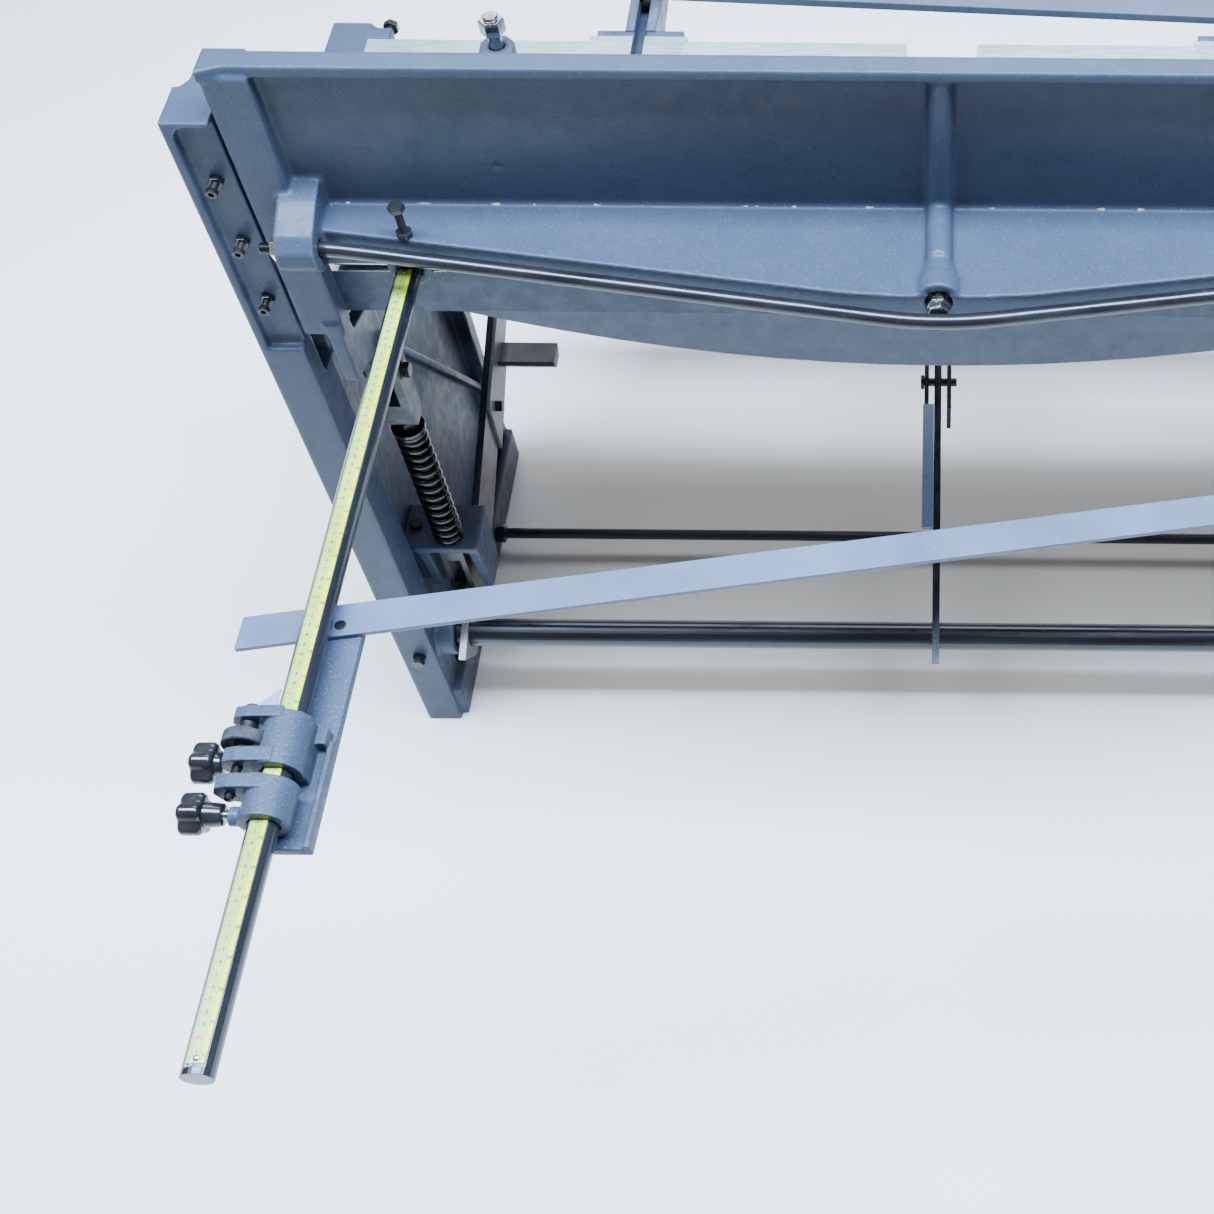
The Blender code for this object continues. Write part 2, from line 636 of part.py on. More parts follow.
def build_pull_rods():
    """Each side's clevis, rod with its nut and slotted lower yoke, and return spring."""
    x, t = PULL_X, PULL_T
    body = [
        (t - 0.017, 0.560),
        (t - 0.010, 0.549),
        (t + 0.010, 0.549),
        (t + 0.017, 0.560),
        (t + 0.019, 0.660),
        (t + 0.012, 0.690),
        (t, 0.697),
        (t - 0.012, 0.690),
        (t - 0.019, 0.660),
    ]
    clevis = cut(
        plate(body, "X", (x - 0.018, x + 0.018)),
        block((x - 0.008, x + 0.008), (t - 0.03, t + 0.03), (0.590, 0.710)),
        rod((x - 0.03, t, 0.635), (x + 0.03, t, 0.635), 0.0063, 12),
        rod((x, t, 0.540), (x, t, 0.575), 0.0073, 12),
    )
    clevises = pair(clevis, "pull_clevis", BAR)
    cheek = [
        (t - 0.015, 0.300),
        (t + 0.015, 0.300),
        (t + 0.015, 0.160),
        (t + 0.006, 0.146),
        (t - 0.006, 0.146),
        (t - 0.015, 0.160),
    ]
    pin_z = 0.172
    slot = block((x - 0.03, x + 0.03), (t - 0.010, t + 0.007), (pin_z - 0.008, pin_z + 0.008))
    shaft = union(
        rod((x, t, 0.290), (x, t, 0.572), 0.007, 12),
        rod((x, t, SPRING_TOP + 0.004), (x, t, 0.549 - GAP), 0.0125, 6),
        rod((x, t, SPRING_TOP + GAP), (x, t, SPRING_TOP + 0.005), 0.0205, 20),
        plate(cheek, "X", (x - 0.0155, x - 0.0085)),
        plate(cheek, "X", (x + 0.0085, x + 0.0155)),
        block((x - 0.0155, x + 0.0155), (t - 0.015, t + 0.015), (0.280, 0.300)),
    )
    rods = pair(cut(shaft, slot), "pull_rod", OXIDE)
    spring = coil(x, t, SEAT_TOP + GAP, SPRING_TOP, 15, 0.0165, 0.0033, 8)
    pair(spring, "return_spring", BLACK)
    return [*clevises, *rods]


# ---- treadle -----------------------------------------------------------------------------------
def arm_top(t):
    """Height of a treadle arm's upper edge."""
    return 0.170 + ARM_SLOPE * t


def treadle_arm(x, front_t, seat):
    """A flame-cut flat bar on edge, narrow at the shaft, with a level seat at its front end."""
    outline = [
        (-0.008, arm_top(-0.008)),
        (front_t, arm_top(front_t)),
        (front_t + seat, arm_top(front_t)),
        (front_t + seat, arm_top(front_t) - 0.055),
        (0.393, 0.236),
        (0.237, 0.172),
        (0.060, 0.128),
        (0.030, 0.124),
    ]
    shape = plate(outline, "X", (x - 0.005, x + 0.005))
    return cut(shape, rod((x - 0.02, SHAFT_T, SHAFT_Z), (x + 0.02, SHAFT_T, SHAFT_Z), SHAFT_R + GAP, 32))


def build_treadle():
    board_t = (0.590, 0.680)
    arm_front = 0.640
    seat = 0.030
    board_low = arm_top(arm_front) + GAP
    shaft = rod((-0.716, SHAFT_T, SHAFT_Z), (0.716, SHAFT_T, SHAFT_Z), SHAFT_R, 32)
    pieces = [finish(shaft, "treadle_shaft", BLACK)]

    side_arm = treadle_arm(PULL_X, arm_front, seat)
    pin_z = 0.172
    side_arm = cut(side_arm, rod((0.63, PULL_T, pin_z), (0.66, PULL_T, pin_z), 0.0053, 16))
    pieces += pair(side_arm, "treadle_arm", BLACK)
    pin = rod((PULL_X - 0.0185, PULL_T, pin_z), (PULL_X + 0.0185, PULL_T, pin_z), 0.005, 16)
    pieces += pair(pin, "treadle_pull_pin", OXIDE)

    middle = treadle_arm(0, 0.408, 0.002)
    pin_t, clevis_z = 0.397, 0.290
    middle = cut(middle, rod((-0.02, pin_t, clevis_z), (0.02, pin_t, clevis_z), 0.0063, 16))
    pieces.append(finish(middle, "treadle_arm_middle", BLACK))
    strip = [(0.176, arm_top(0.176)), (0.349, arm_top(0.349)), (0.349, arm_top(0.349) - 0.004)]
    strip.append((0.176, arm_top(0.176) - 0.004))
    pieces.append(finish(plate(strip, "X", (0.005 + GAP, 0.021)), "middle_arm_strip", BAR))

    ear = [
        (0.344, arm_top(0.344) - 0.001),
        (0.600, arm_top(0.600) - 0.001),
        (arm_front, arm_top(arm_front)),
        (arm_front + seat, arm_top(arm_front)),
        (arm_front + seat, arm_top(arm_front) - 0.045),
        (0.408, 0.250),
        (0.344, 0.250),
    ]
    bridge = block((-0.019, 0.019), (0.560, 0.600), (arm_top(0.560) - 0.045, arm_top(0.560) - 0.015))
    link = union(plate(ear, "X", (-0.019, -0.013)), plate(ear, "X", (0.013, 0.019)), bridge)
    pin_hole = rod((-0.03, pin_t, clevis_z), (0.03, pin_t, clevis_z), 0.0063, 16)
    strip_room = block((-0.003, 0.0213), (0.300, 0.3495), (0.2, 0.4))
    pieces.append(finish(cut(link, pin_hole, strip_room), "treadle_link_middle", BLACK))
    clevis_pin = union(
        rod((-0.027, pin_t, clevis_z), (0.0245, pin_t, clevis_z), 0.006, 16),
        rod((0.0195, pin_t, clevis_z), (0.0245, pin_t, clevis_z), 0.0105, 16),
    )
    pieces.append(finish(clevis_pin, "treadle_clevis_pin", OXIDE))

    plate_x = (PULL_X - 0.0050 - GAP - 0.005, PULL_X - 0.0050 - GAP)
    bracket_plate = [
        (0.335, arm_top(0.335) + 0.004),
        (0.469, arm_top(0.469) + 0.004),
        (0.469, arm_top(0.469) - 0.070),
        (0.335, arm_top(0.335) - 0.085),
    ]
    channel = [
        (0.415, 0.305),
        (0.454, 0.305),
        (0.454, 0.297),
        (0.446, 0.286),
        (0.423, 0.286),
        (0.415, 0.297),
    ]
    bracket = union(
        plate(bracket_plate, "X", plate_x),
        plate(channel, "X", (0.553, plate_x[0] + 0.001)),
        rod((plate_x[0] + 0.001, 0.362, 0.270), (plate_x[0] - 0.010, 0.362, 0.270), 0.0105, 4),
    )
    pieces += pair(bracket, "treadle_bracket", BAR)

    board = [
        (board_t[0], board_low),
        (board_t[0], board_low + 0.008),
        (board_t[1], board_low + 0.008),
        (board_t[1], board_low - 0.030),
        (board_t[1] - 0.008, board_low - 0.030),
        (board_t[1] - 0.008, board_low),
    ]
    pieces.append(finish(plate(board, "X", (-0.667, 0.667)), "treadle_board", BLACK))
    joint_frame("treadle_axis", place(0, SHAFT_T, SHAFT_Z), pieces)


# ---- back gauge --------------------------------------------------------------------------------
def ear(ts):
    """A rounded ear from the rod's barrel out to the adjustment screw."""
    outline = [
        (ROD_X, ROD_Z - 0.014),
        (EAR_X, EAR_Z - 0.013),
        (EAR_X + 0.010, EAR_Z - 0.010),
        (EAR_X + 0.014, EAR_Z),
        (EAR_X + 0.010, EAR_Z + 0.010),
        (EAR_X, EAR_Z + 0.013),
        (ROD_X, ROD_Z + 0.022),
    ]
    return plate(outline, "Y", ts)


def gauge_slide():
    """The slide casting: split barrel, two ears and the arm plate that holds the gauge bar."""
    barrel = (-0.536, -0.5875)
    shape = rod((ROD_X, barrel[0], ROD_Z), (ROD_X, barrel[1], ROD_Z), 0.0208, 48)
    low, high = PLATE_Z
    shape = union(
        shape,
        ear((-0.533, -0.544)),
        ear((-0.5725, -0.5860)),
        block((PLATE_X, 0.5615), (-0.408, -0.6455), PLATE_Z),
        block((0.5196, 0.5606), (barrel[0] - 0.001, barrel[1] + 0.0015), (low + 0.001, ROD_Z)),
        block((PLATE_X + 0.0003, PLATE_X + 0.005), (-0.545, -0.6453), (low + 0.002, high + 0.005)),
        block((PLATE_X + 0.004, 0.5222), (-0.5365, -0.553), (low + 0.003, 0.874)),
        block((0.5527, 0.5635), (-0.526, -0.536), (0.884, 0.8947)),
    )
    wheel_room = rod((EAR_X, -0.5550, EAR_Z), (EAR_X, -0.5680, EAR_Z), WHEEL_R + 0.0006, 32)
    return cut(
        shape,
        rod((ROD_X, -0.40, ROD_Z), (ROD_X, -0.66, ROD_Z), ROD_R + GAP, 28),
        rod((EAR_X, -0.52, EAR_Z), (EAR_X, -0.60, EAR_Z), 0.0043, 16),
        wheel_room,
        rod((EAR_X + 0.0055, SLIDE_KNOB_T, ROD_Z), (0.600, SLIDE_KNOB_T, ROD_Z), 0.0043, 12),
    )


def gauge_collar():
    """The clamp collar behind the slide, which takes the adjustment screw's thread."""
    ring = (-0.5980, -0.6350)
    shape = rod((ROD_X, ring[0], ROD_Z), (ROD_X, ring[1], ROD_Z), 0.0210, 48)
    shape = union(
        shape,
        ear((ring[0] + 0.0005, -0.6107)),
        rod((ROD_X, COLLAR_KNOB_T, ROD_Z), (0.5685, COLLAR_KNOB_T, ROD_Z), 0.0083, 16),
    )
    return cut(
        shape,
        rod((ROD_X, -0.58, ROD_Z), (ROD_X, -0.66, ROD_Z), ROD_R + GAP, 28),
        rod((EAR_X, -0.58, EAR_Z), (EAR_X, -0.62, EAR_Z), 0.0043, 16),
        rod((0.5545, COLLAR_KNOB_T, ROD_Z), (0.600, COLLAR_KNOB_T, ROD_Z), 0.0043, 12),
    )


def fine_screw():
    """The knurled wheel on its screw."""
    rim = [(EAR_X + u, EAR_Z + v) for u, v in lobed(WHEEL_R, 0.0006, 18, 36)]
    return union(
        plate(rim, "Y", (-0.5555, -0.5675)),
        rod((EAR_X, -0.529, EAR_Z), (EAR_X, -0.6160, EAR_Z), 0.004, 16),
        rod((EAR_X, -0.5327, EAR_Z), (EAR_X, -0.5275, EAR_Z), 0.0068, 12),
        rod((EAR_X, -0.5443, EAR_Z), (EAR_X, -0.5560, EAR_Z), 0.0075, 16),
        rod((EAR_X, -0.5670, EAR_Z), (EAR_X, -0.5722, EAR_Z), 0.0075, 16),
    )


def lock_knob(t, tip_x, hub_x, lobes_x):
    """A five-lobed knob on a screw along X."""
    rim = [(t + u, ROD_Z + v) for u, v in lobed(0.0182, 0.0042, 5, 30)]
    return union(
        plate(rim, "X", (lobes_x, lobes_x + 0.019)),
        rod((hub_x, t, ROD_Z), (lobes_x + 0.001, t, ROD_Z), 0.0105, 16),
        rod((tip_x, t, ROD_Z), (hub_x + 0.001, t, ROD_Z), 0.004, 12),
    )


def gauge_bar():
    """The flat bar across both slides, with a shallow leg along its front edge."""
    half, thickness, width = 0.6135, 0.005, 0.0345
    skew = -BAR_SHIFT / (2 * ROD_X)
    low = PLATE_Z[1] + GAP

    def t_of(x):
        return BAR_MIDDLE_T + skew * x

    def outline(near, far):
        return [
            (-half, t_of(-half) + near),
            (half, t_of(half) + near),
            (half, t_of(half) + far),
            (-half, t_of(-half) + far),
        ]

    return plate(outline(-width / 2, width / 2), "Z", (low, low + thickness))


def build_back_gauge():
    slides = pair(gauge_slide(), "gauge_slide", PAINT, BAR_SHIFT)
    collars = pair(gauge_collar(), "gauge_collar", PAINT, BAR_SHIFT)
    screws = pair(fine_screw(), "fine_adjust_screw", PLATED, BAR_SHIFT)
    slide_knobs = pair(lock_knob(SLIDE_KNOB_T, 0.5765, 0.5855, 0.5905), "slide_lock_knob", KNOB, BAR_SHIFT)
    collar_knobs = pair(lock_knob(COLLAR_KNOB_T, 0.5550, 0.5740, 0.5885), "collar_lock_knob", KNOB, BAR_SHIFT)
    tip = [
        (0.5490, -0.513),
        (0.5500, -0.513),
        (0.5635, -0.5275),
        (0.5635, -0.5325),
        (0.5490, -0.5325),
    ]
    pointers = pair(plate(tip, "Z", (0.8950, 0.8965)), "gauge_pointer", BAR, BAR_SHIFT)
    bar = finish(gauge_bar(), "back_gauge_bar", BAR)
    for index, (side, name) in enumerate(((1, "right"), (-1, "left"))):
        shift = 0 if index == 0 else BAR_SHIFT
        knob_axis = place(side * 0.59, SLIDE_KNOB_T + shift, ROD_Z)
        collar_axis = place(side * 0.59, COLLAR_KNOB_T + shift, ROD_Z)
        joint_frame("screw_axis_" + name, place(side * EAR_X, -0.56 + shift, EAR_Z), [screws[index]])
        joint_frame("slide_knob_axis_" + name, knob_axis, [slide_knobs[index]])
        joint_frame("collar_knob_axis_" + name, collar_axis, [collar_knobs[index]])
        along_rod = place(side * ROD_X, -0.60 + shift, ROD_Z)
        joint_frame("collar_axis_" + name, along_rod, [collars[index]])
        carried = [slides[index], pointers[index]] + ([bar] if index == 0 else [])
        joint_frame("slide_axis_" + name, along_rod, carried)


def build():
    build_frame()
    front_gauge()
    moving = build_crosshead() + build_pull_rods()
    joint_frame("crosshead_axis", place(0, GROOVE[0], HEAD_TOP), moving)
    build_hold_down()
    build_treadle()
    build_back_gauge()


build()
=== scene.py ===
"""Looks of the foot-operated squaring shear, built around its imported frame.

Metres, +Z up, the operator at -Y. Lengths called t run forward (towards -Y) from the rear faces
of the side frames. Pieces of the +X half are made first and mirrored for the other one.
"""

import math
import random

import bmesh
import bpy
from mathutils import Matrix, Vector


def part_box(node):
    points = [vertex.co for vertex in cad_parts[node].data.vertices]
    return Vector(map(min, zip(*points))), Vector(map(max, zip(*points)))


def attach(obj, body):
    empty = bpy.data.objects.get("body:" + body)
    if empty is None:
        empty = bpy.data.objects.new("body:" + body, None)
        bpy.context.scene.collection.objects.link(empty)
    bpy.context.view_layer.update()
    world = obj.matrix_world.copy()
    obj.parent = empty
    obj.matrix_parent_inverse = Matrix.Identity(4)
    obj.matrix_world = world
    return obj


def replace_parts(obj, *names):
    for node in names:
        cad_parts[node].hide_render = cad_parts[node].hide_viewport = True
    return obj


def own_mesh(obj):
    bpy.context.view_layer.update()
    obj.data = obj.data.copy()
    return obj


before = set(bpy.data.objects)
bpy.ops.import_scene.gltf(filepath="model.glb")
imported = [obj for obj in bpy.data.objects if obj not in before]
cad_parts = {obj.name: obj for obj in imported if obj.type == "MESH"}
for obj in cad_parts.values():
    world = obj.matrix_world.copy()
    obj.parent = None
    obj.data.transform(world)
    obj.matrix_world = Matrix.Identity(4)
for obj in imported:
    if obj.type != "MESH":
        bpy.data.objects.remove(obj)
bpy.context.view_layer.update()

REAR_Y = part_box("stand_right")[1].y
TABLE_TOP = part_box("bed")[1].z
ROD_LOW, ROD_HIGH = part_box("gauge_rod_right")
ROD_X, ROD_Z = (ROD_LOW.x + ROD_HIGH.x) / 2, (ROD_LOW.z + ROD_HIGH.z) / 2
TAPE_LOW, TAPE_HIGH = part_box("gauge_scale_right")
SPRING_LOW, SPRING_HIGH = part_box("return_spring_right")
SHIFT_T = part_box("gauge_slide_right")[1].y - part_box("gauge_slide_left")[1].y
SHAFT_Z = sum(corner.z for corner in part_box("treadle_shaft")) / 2
PULL_X = (SPRING_LOW.x + SPRING_HIGH.x) / 2
PULL_T = REAR_Y - (SPRING_LOW.y + SPRING_HIGH.y) / 2
EAR_X, EAR_Z = 0.5705, 0.890  # the fine adjustment screw's axis
WHEEL_LOW, WHEEL_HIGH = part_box("fine_adjust_screw_right")
TRUSS_Z, TRUSS_R = 0.939, 0.0078  # the truss rod's height and radius
TRUSS_MIDDLE_T, TRUSS_END_T, TRUSS_END_X = -0.1270, -0.0305, 0.598
TRUSS_FLAT = 0.028  # half the length of its straight middle
LUG_OUT = 0.646  # X of the lugs' outer faces
BOSS_T = -0.0985  # t of the middle boss's rear face
TOUCH = 0.0003  # the gap left under nuts and at the truss screw's tip
SHELF_TOP, HEAD_WALL_T = 0.951, 0.0225  # the crosshead's shelf and rear wall
CLAMP_X, CLAMP_T = 0.523, -0.0235  # the rods' clamp screws
HOLD_X, HOLD_T = 0.4175, 0.074  # the hold-down's studs
SEAT_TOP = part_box("spring_seat_right")[1].z
BAR_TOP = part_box("back_gauge_bar")[1].z
X_AXIS, BACK, Z_AXIS = Vector((1, 0, 0)), Vector((0, 1, 0)), Vector((0, 0, 1))


def place(x, t, z):
    """The point at X, at t forward of the side frames' rear faces, and at height Z."""
    return Vector((x, REAR_Y - t, z))


# ---- materials ---------------------------------------------------------------------------------
class Look:
    """A node material, with short calls for the textures that it mixes."""

    def __init__(self, name, metallic=0.0, coat=0.0, specular=0.5):
        self.material = bpy.data.materials.new(name)
        self.material.use_nodes = True
        self.tree = self.material.node_tree
        self.shader = self.tree.nodes["Principled BSDF"]
        self.shader.inputs["Metallic"].default_value = metallic
        self.shader.inputs["Coat Weight"].default_value = coat
        self.shader.inputs["Coat Roughness"].default_value = 0.12
        self.shader.inputs["Specular IOR Level"].default_value = specular
        self.where = self.tree.nodes.new("ShaderNodeTexCoord").outputs["Object"]
        self.material.diffuse_color = (0.2, 0.2, 0.2, 1)

    def node(self, kind, **settings):
        made = self.tree.nodes.new(kind)
        for key, value in settings.items():
            setattr(made, key, value)
        return made

    def link(self, source, target):
        self.tree.links.new(source, target)

    def stretched(self, scale):
        mapping = self.node("ShaderNodeMapping")
        mapping.inputs["Scale"].default_value = scale
        self.link(self.where, mapping.inputs["Vector"])
        return mapping.outputs["Vector"]

    def noise(self, scale, detail=3.0, stretch=None):
        made = self.node("ShaderNodeTexNoise")
        made.inputs["Scale"].default_value = scale
        made.inputs["Detail"].default_value = detail
        self.link(self.stretched(stretch) if stretch else self.where, made.inputs["Vector"])
        return made.outputs["Fac"]

    def ramp(self, source, low, high, start=0.0, end=1.0):
        """The source's range low to high, as values start to end."""
        made = self.node("ShaderNodeMapRange")
        made.inputs["From Min"].default_value = low
        made.inputs["From Max"].default_value = high
        made.inputs["To Min"].default_value = start
        made.inputs["To Max"].default_value = end
        self.link(source, made.inputs["Value"])
        return made.outputs["Result"]

    def mix(self, share, first, second):
        made = self.node("ShaderNodeMix", data_type="RGBA")
        self.link(share, made.inputs["Factor"])
        for value, socket in ((first, made.inputs["A"]), (second, made.inputs["B"])):
            if isinstance(value, tuple):
                socket.default_value = (*value, 1.0)
            else:
                self.link(value, socket)
        return made.outputs["Result"]

    def edges(self, low, high):
        """1 on outer edges, 0 on flats and in corners."""
        point = self.node("ShaderNodeNewGeometry").outputs["Pointiness"]
        return self.ramp(point, low, high)

    def times(self, a, b):
        made = self.node("ShaderNodeMath", operation="MULTIPLY")
        self.link(a, made.inputs[0])
        if isinstance(b, float):
            made.inputs[1].default_value = b
        else:
            self.link(b, made.inputs[1])
        return made.outputs["Value"]

    def colour(self, source):
        self.link(source, self.shader.inputs["Base Color"])

    def roughness(self, source):
        self.link(source, self.shader.inputs["Roughness"])

    def relief(self, *layers, radius=0.0):
        """Bump layers, each (height, depth in metres), on edges rounded by radius."""
        normal = None
        if radius:
            soft = self.node("ShaderNodeBevel", samples=4)
            soft.inputs["Radius"].default_value = radius
            normal = soft.outputs["Normal"]
        for height, depth in layers:
            bump = self.node("ShaderNodeBump")
            bump.inputs["Strength"].default_value = 1.0
            bump.inputs["Distance"].default_value = depth
            self.link(height, bump.inputs["Height"])
            if normal:
                self.link(normal, bump.inputs["Normal"])
            normal = bump.outputs["Normal"]
        if normal:
            self.link(normal, self.shader.inputs["Normal"])


def shade(colour, gain, lift=0.0):
    """The colour made brighter or darker."""
    return tuple(min(1.0, channel * gain + lift) for channel in colour)


def cast_paint(name, dark, light, grain=1.0, radius=0.0012):
    """Semi-gloss enamel over a fine cast surface: mottled, speckled, brighter on outer edges, partly from
    wear and partly as a painted highlight.
    """
    look = Look(name, coat=0.04, specular=0.18)
    mottle = look.ramp(look.noise(7.0, 5.0), 0.35, 0.65)
    base = look.mix(mottle, dark, light)
    flecks = look.ramp(look.noise(620.0, 2.0), 0.60, 0.74)
    flecked = look.mix(look.times(flecks, 0.35 * grain), base, shade(light, 2.6, 0.03))
    # Outer edges lightened: partly wear of the paint, partly a painted highlight on the rounded edges.
    worn = look.times(look.edges(0.52, 0.60), look.ramp(look.noise(45.0, 4.0), 0.42, 0.62, 0.1, 0.75))
    edge_wear_and_highlight = look.mix(worn, flecked, shade(light, 1.7, 0.04))
    stains = look.ramp(look.noise(19.0, 6.0), 0.58, 0.76, 0.0, 0.18)
    look.colour(look.mix(stains, edge_wear_and_highlight, shade(dark, 0.55)))
    look.roughness(look.ramp(look.noise(60.0, 4.0), 0.3, 0.7, 0.30, 0.50))
    look.relief(
        (look.noise(26.0, 2.0), 0.0011),
        (look.noise(420.0, 3.0), 0.00022 * grain),
        radius=radius,
    )
    return look.material


def rod_finish(name, colour, low_rough, high_rough, stretch, metallic=0.55):
    """A black drawn bar with faint scratches along one way."""
    look = Look(name, metallic=metallic, coat=0.35)
    streak = look.noise(30.0, 5.0, stretch)
    streaked = look.mix(look.ramp(streak, 0.3, 0.75), colour, shade(colour, 2.4, 0.006))
    rub = look.ramp(look.noise(90.0, 4.0), 0.62, 0.80, 0.0, 0.4)
    look.colour(look.mix(rub, streaked, (0.09, 0.09, 0.095)))
    look.roughness(look.ramp(streak, 0.3, 0.7, low_rough, high_rough))
    look.relief((streak, 0.00006), radius=0.0005)
    return look.material


def ground_finish(name, colour, tint, stretch, rough=0.3):
    """Ground or milled steel: fine lines across the face, with cloudy oil stains."""
    look = Look(name, metallic=0.75)
    lines = look.noise(60.0, 6.0, stretch)
    clouds = look.ramp(look.noise(4.0, 4.0), 0.35, 0.7)
    clouded = look.mix(clouds, colour, tint)
    look.colour(look.mix(look.ramp(lines, 0.35, 0.65, 0.0, 0.35), clouded, (0.95, 1.0, 1.0)))
    look.roughness(look.ramp(lines, 0.3, 0.7, rough, rough + 0.18))
    look.relief((lines, 0.00004), radius=0.0005)
    return look.material


def smooth_paint(name, dark, light, rough=0.32):
    """Sprayed flat paint with light clouding, dust nibs and a few chips."""
    look = Look(name, coat=0.12, specular=0.35)
    base = look.mix(look.ramp(look.noise(9.0, 6.0), 0.35, 0.68), dark, light)
    chips = look.ramp(look.noise(130.0, 6.0), 0.70, 0.74)
    look.colour(look.mix(chips, base, shade(dark, 0.45)))
    look.roughness(look.ramp(look.noise(35.0, 5.0), 0.3, 0.7, rough - 0.06, rough + 0.12))
    look.relief((look.noise(240.0, 3.0), 0.00007), radius=0.0006)
    return look.material


def plastic(name):
    """Glossy black moulded plastic, a little worn."""
    look = Look(name, coat=0.3)
    swirl = look.noise(55.0, 4.0)
    look.colour(look.mix(look.ramp(swirl, 0.3, 0.8), (0.006, 0.0065, 0.008), (0.018, 0.019, 0.022)))
    look.roughness(look.ramp(look.noise(170.0, 5.0), 0.35, 0.7, 0.10, 0.26))
    look.relief((look.noise(90.0, 2.0), 0.00012))
    return look.material


def plated(name, colour=(0.70, 0.70, 0.68)):
    """Bright or worn plated steel with a cloudy finish."""
    look = Look(name, metallic=1.0)
    cloud = look.noise(160.0, 5.0)
    look.colour(look.mix(look.ramp(cloud, 0.35, 0.75), colour, shade(colour, 0.55)))
    look.roughness(look.ramp(cloud, 0.3, 0.7, 0.16, 0.36))
    look.relief((look.noise(700.0, 2.0), 0.00003), radius=0.0003)
    return look.material


def tape_print(name):
    """Rule tape: yellow-green, with a stronger yellow band along its inner edge."""
    look = Look(name, coat=0.15, specular=0.3)
    parts = look.node("ShaderNodeSeparateXYZ")
    look.link(look.where, parts.inputs["Vector"])
    across = look.node("ShaderNodeMath", operation="ABSOLUTE")
    look.link(parts.outputs["X"], across.inputs[0])
    band = look.ramp(across.outputs["Value"], ROD_X - 0.0030, ROD_X - 0.0034)
    cloud = look.ramp(look.noise(14.0, 5.0), 0.35, 0.7)
    field = look.mix(cloud, (0.30, 0.42, 0.05), (0.44, 0.54, 0.12))
    edge = look.mix(cloud, (0.62, 0.64, 0.004), (0.72, 0.70, 0.02))
    dirt = look.ramp(look.noise(260.0, 5.0), 0.62, 0.75, 0.0, 0.5)
    look.colour(look.mix(dirt, look.mix(band, field, edge), (0.16, 0.17, 0.06)))
    look.roughness(look.ramp(cloud, 0.0, 1.0, 0.28, 0.42))
    look.relief((look.noise(300.0, 3.0), 0.00003))
    return look.material


def ink(name, colour):
    """Printing ink, faded in spots."""
    look = Look(name)
    faded = look.ramp(look.noise(900.0, 3.0), 0.45, 0.7)
    look.colour(look.mix(faded, colour, shade(colour, 0.5, 0.08)))
    look.roughness(look.ramp(look.noise(400.0, 2.0), 0.3, 0.7, 0.35, 0.5))
    return look.material


def filler(name):
    """Body filler, partly painted over."""
    look = Look(name)
    bare = look.ramp(look.noise(60.0, 5.0), 0.40, 0.60)
    look.colour(look.mix(bare, (0.07, 0.085, 0.12), (0.36, 0.34, 0.27)))
    look.roughness(look.ramp(look.noise(200.0, 3.0), 0.3, 0.7, 0.4, 0.6))
    look.relief((look.noise(500.0, 3.0), 0.0002))
    return look.material


PAINT = cast_paint("cast_paint", (0.036, 0.047, 0.076), (0.043, 0.056, 0.090))
ROUGH_PAINT = cast_paint("rough_cast_paint", (0.038, 0.050, 0.082), (0.050, 0.066, 0.107), 1.7, 0.0008)
CLEVIS_PAINT = cast_paint("clevis_gray", (0.040, 0.045, 0.050), (0.060, 0.066, 0.072), 0.8, 0.0010)
WHEEL_PAINT = cast_paint("wheel_gray", (0.012, 0.014, 0.018), (0.028, 0.032, 0.040), 1.6, 0.0003)
BLACK_X = rod_finish("black_bar_lengthwise", (0.010, 0.011, 0.015), 0.16, 0.34, (0.15, 3.0, 3.0))
BLACK_Y = rod_finish("black_rod", (0.011, 0.013, 0.019), 0.14, 0.32, (3.0, 0.15, 3.0))
SPRING = rod_finish("spring_black", (0.012, 0.012, 0.012), 0.12, 0.30, (3.0, 3.0, 3.0), 0.7)
FLAME_CUT = rod_finish("treadle_steel", (0.014, 0.016, 0.022), 0.16, 0.40, (2.0, 0.4, 2.0), 0.5)
ARM_SIDE = smooth_paint("treadle_arm_side", (0.085, 0.070, 0.070), (0.130, 0.108, 0.108), 0.38)
DARK_BAR = smooth_paint("front_bar_paint", (0.060, 0.074, 0.105), (0.085, 0.102, 0.145), 0.30)
OXIDE = rod_finish("black_oxide", (0.012, 0.012, 0.013), 0.25, 0.45, (1.0, 1.0, 1.0), 0.7)
# The table top's pale cyan-green colour is a painted reflection of cool light on ground steel; the clouds
# in it are oil stains.
GROUND_PAINTED_REFLECTION = ground_finish("ground_table", (0.42, 0.60, 0.60), (0.60, 0.74, 0.74), (0.4, 6.0, 1.0))
BLADE = ground_finish("ground_blade", (0.36, 0.37, 0.39), (0.50, 0.51, 0.53), (0.3, 4.0, 8.0), 0.2)
BAR_PAINT = smooth_paint("bar_paint", (0.065, 0.088, 0.150), (0.095, 0.125, 0.205))
STUB = smooth_paint("stub_black", (0.008, 0.009, 0.012), (0.014, 0.016, 0.021), 0.42)
BRACKET = smooth_paint("bracket_gray", (0.085, 0.095, 0.105), (0.130, 0.140, 0.150), 0.42)
STRIP = smooth_paint("strip_blue", (0.15, 0.22, 0.34), (0.22, 0.29, 0.42))
KNOB = plastic("knob_plastic")
PLATED = plated("zinc_plate")
STEEL = plated("worn_steel", (0.36, 0.36, 0.37))
TAPE = tape_print("tape_print")
INK_DARK = ink("tape_ink", (0.02, 0.03, 0.015))
INK_RED = ink("tape_red", (0.62, 0.05, 0.02))
FILLER = filler("corner_filler")


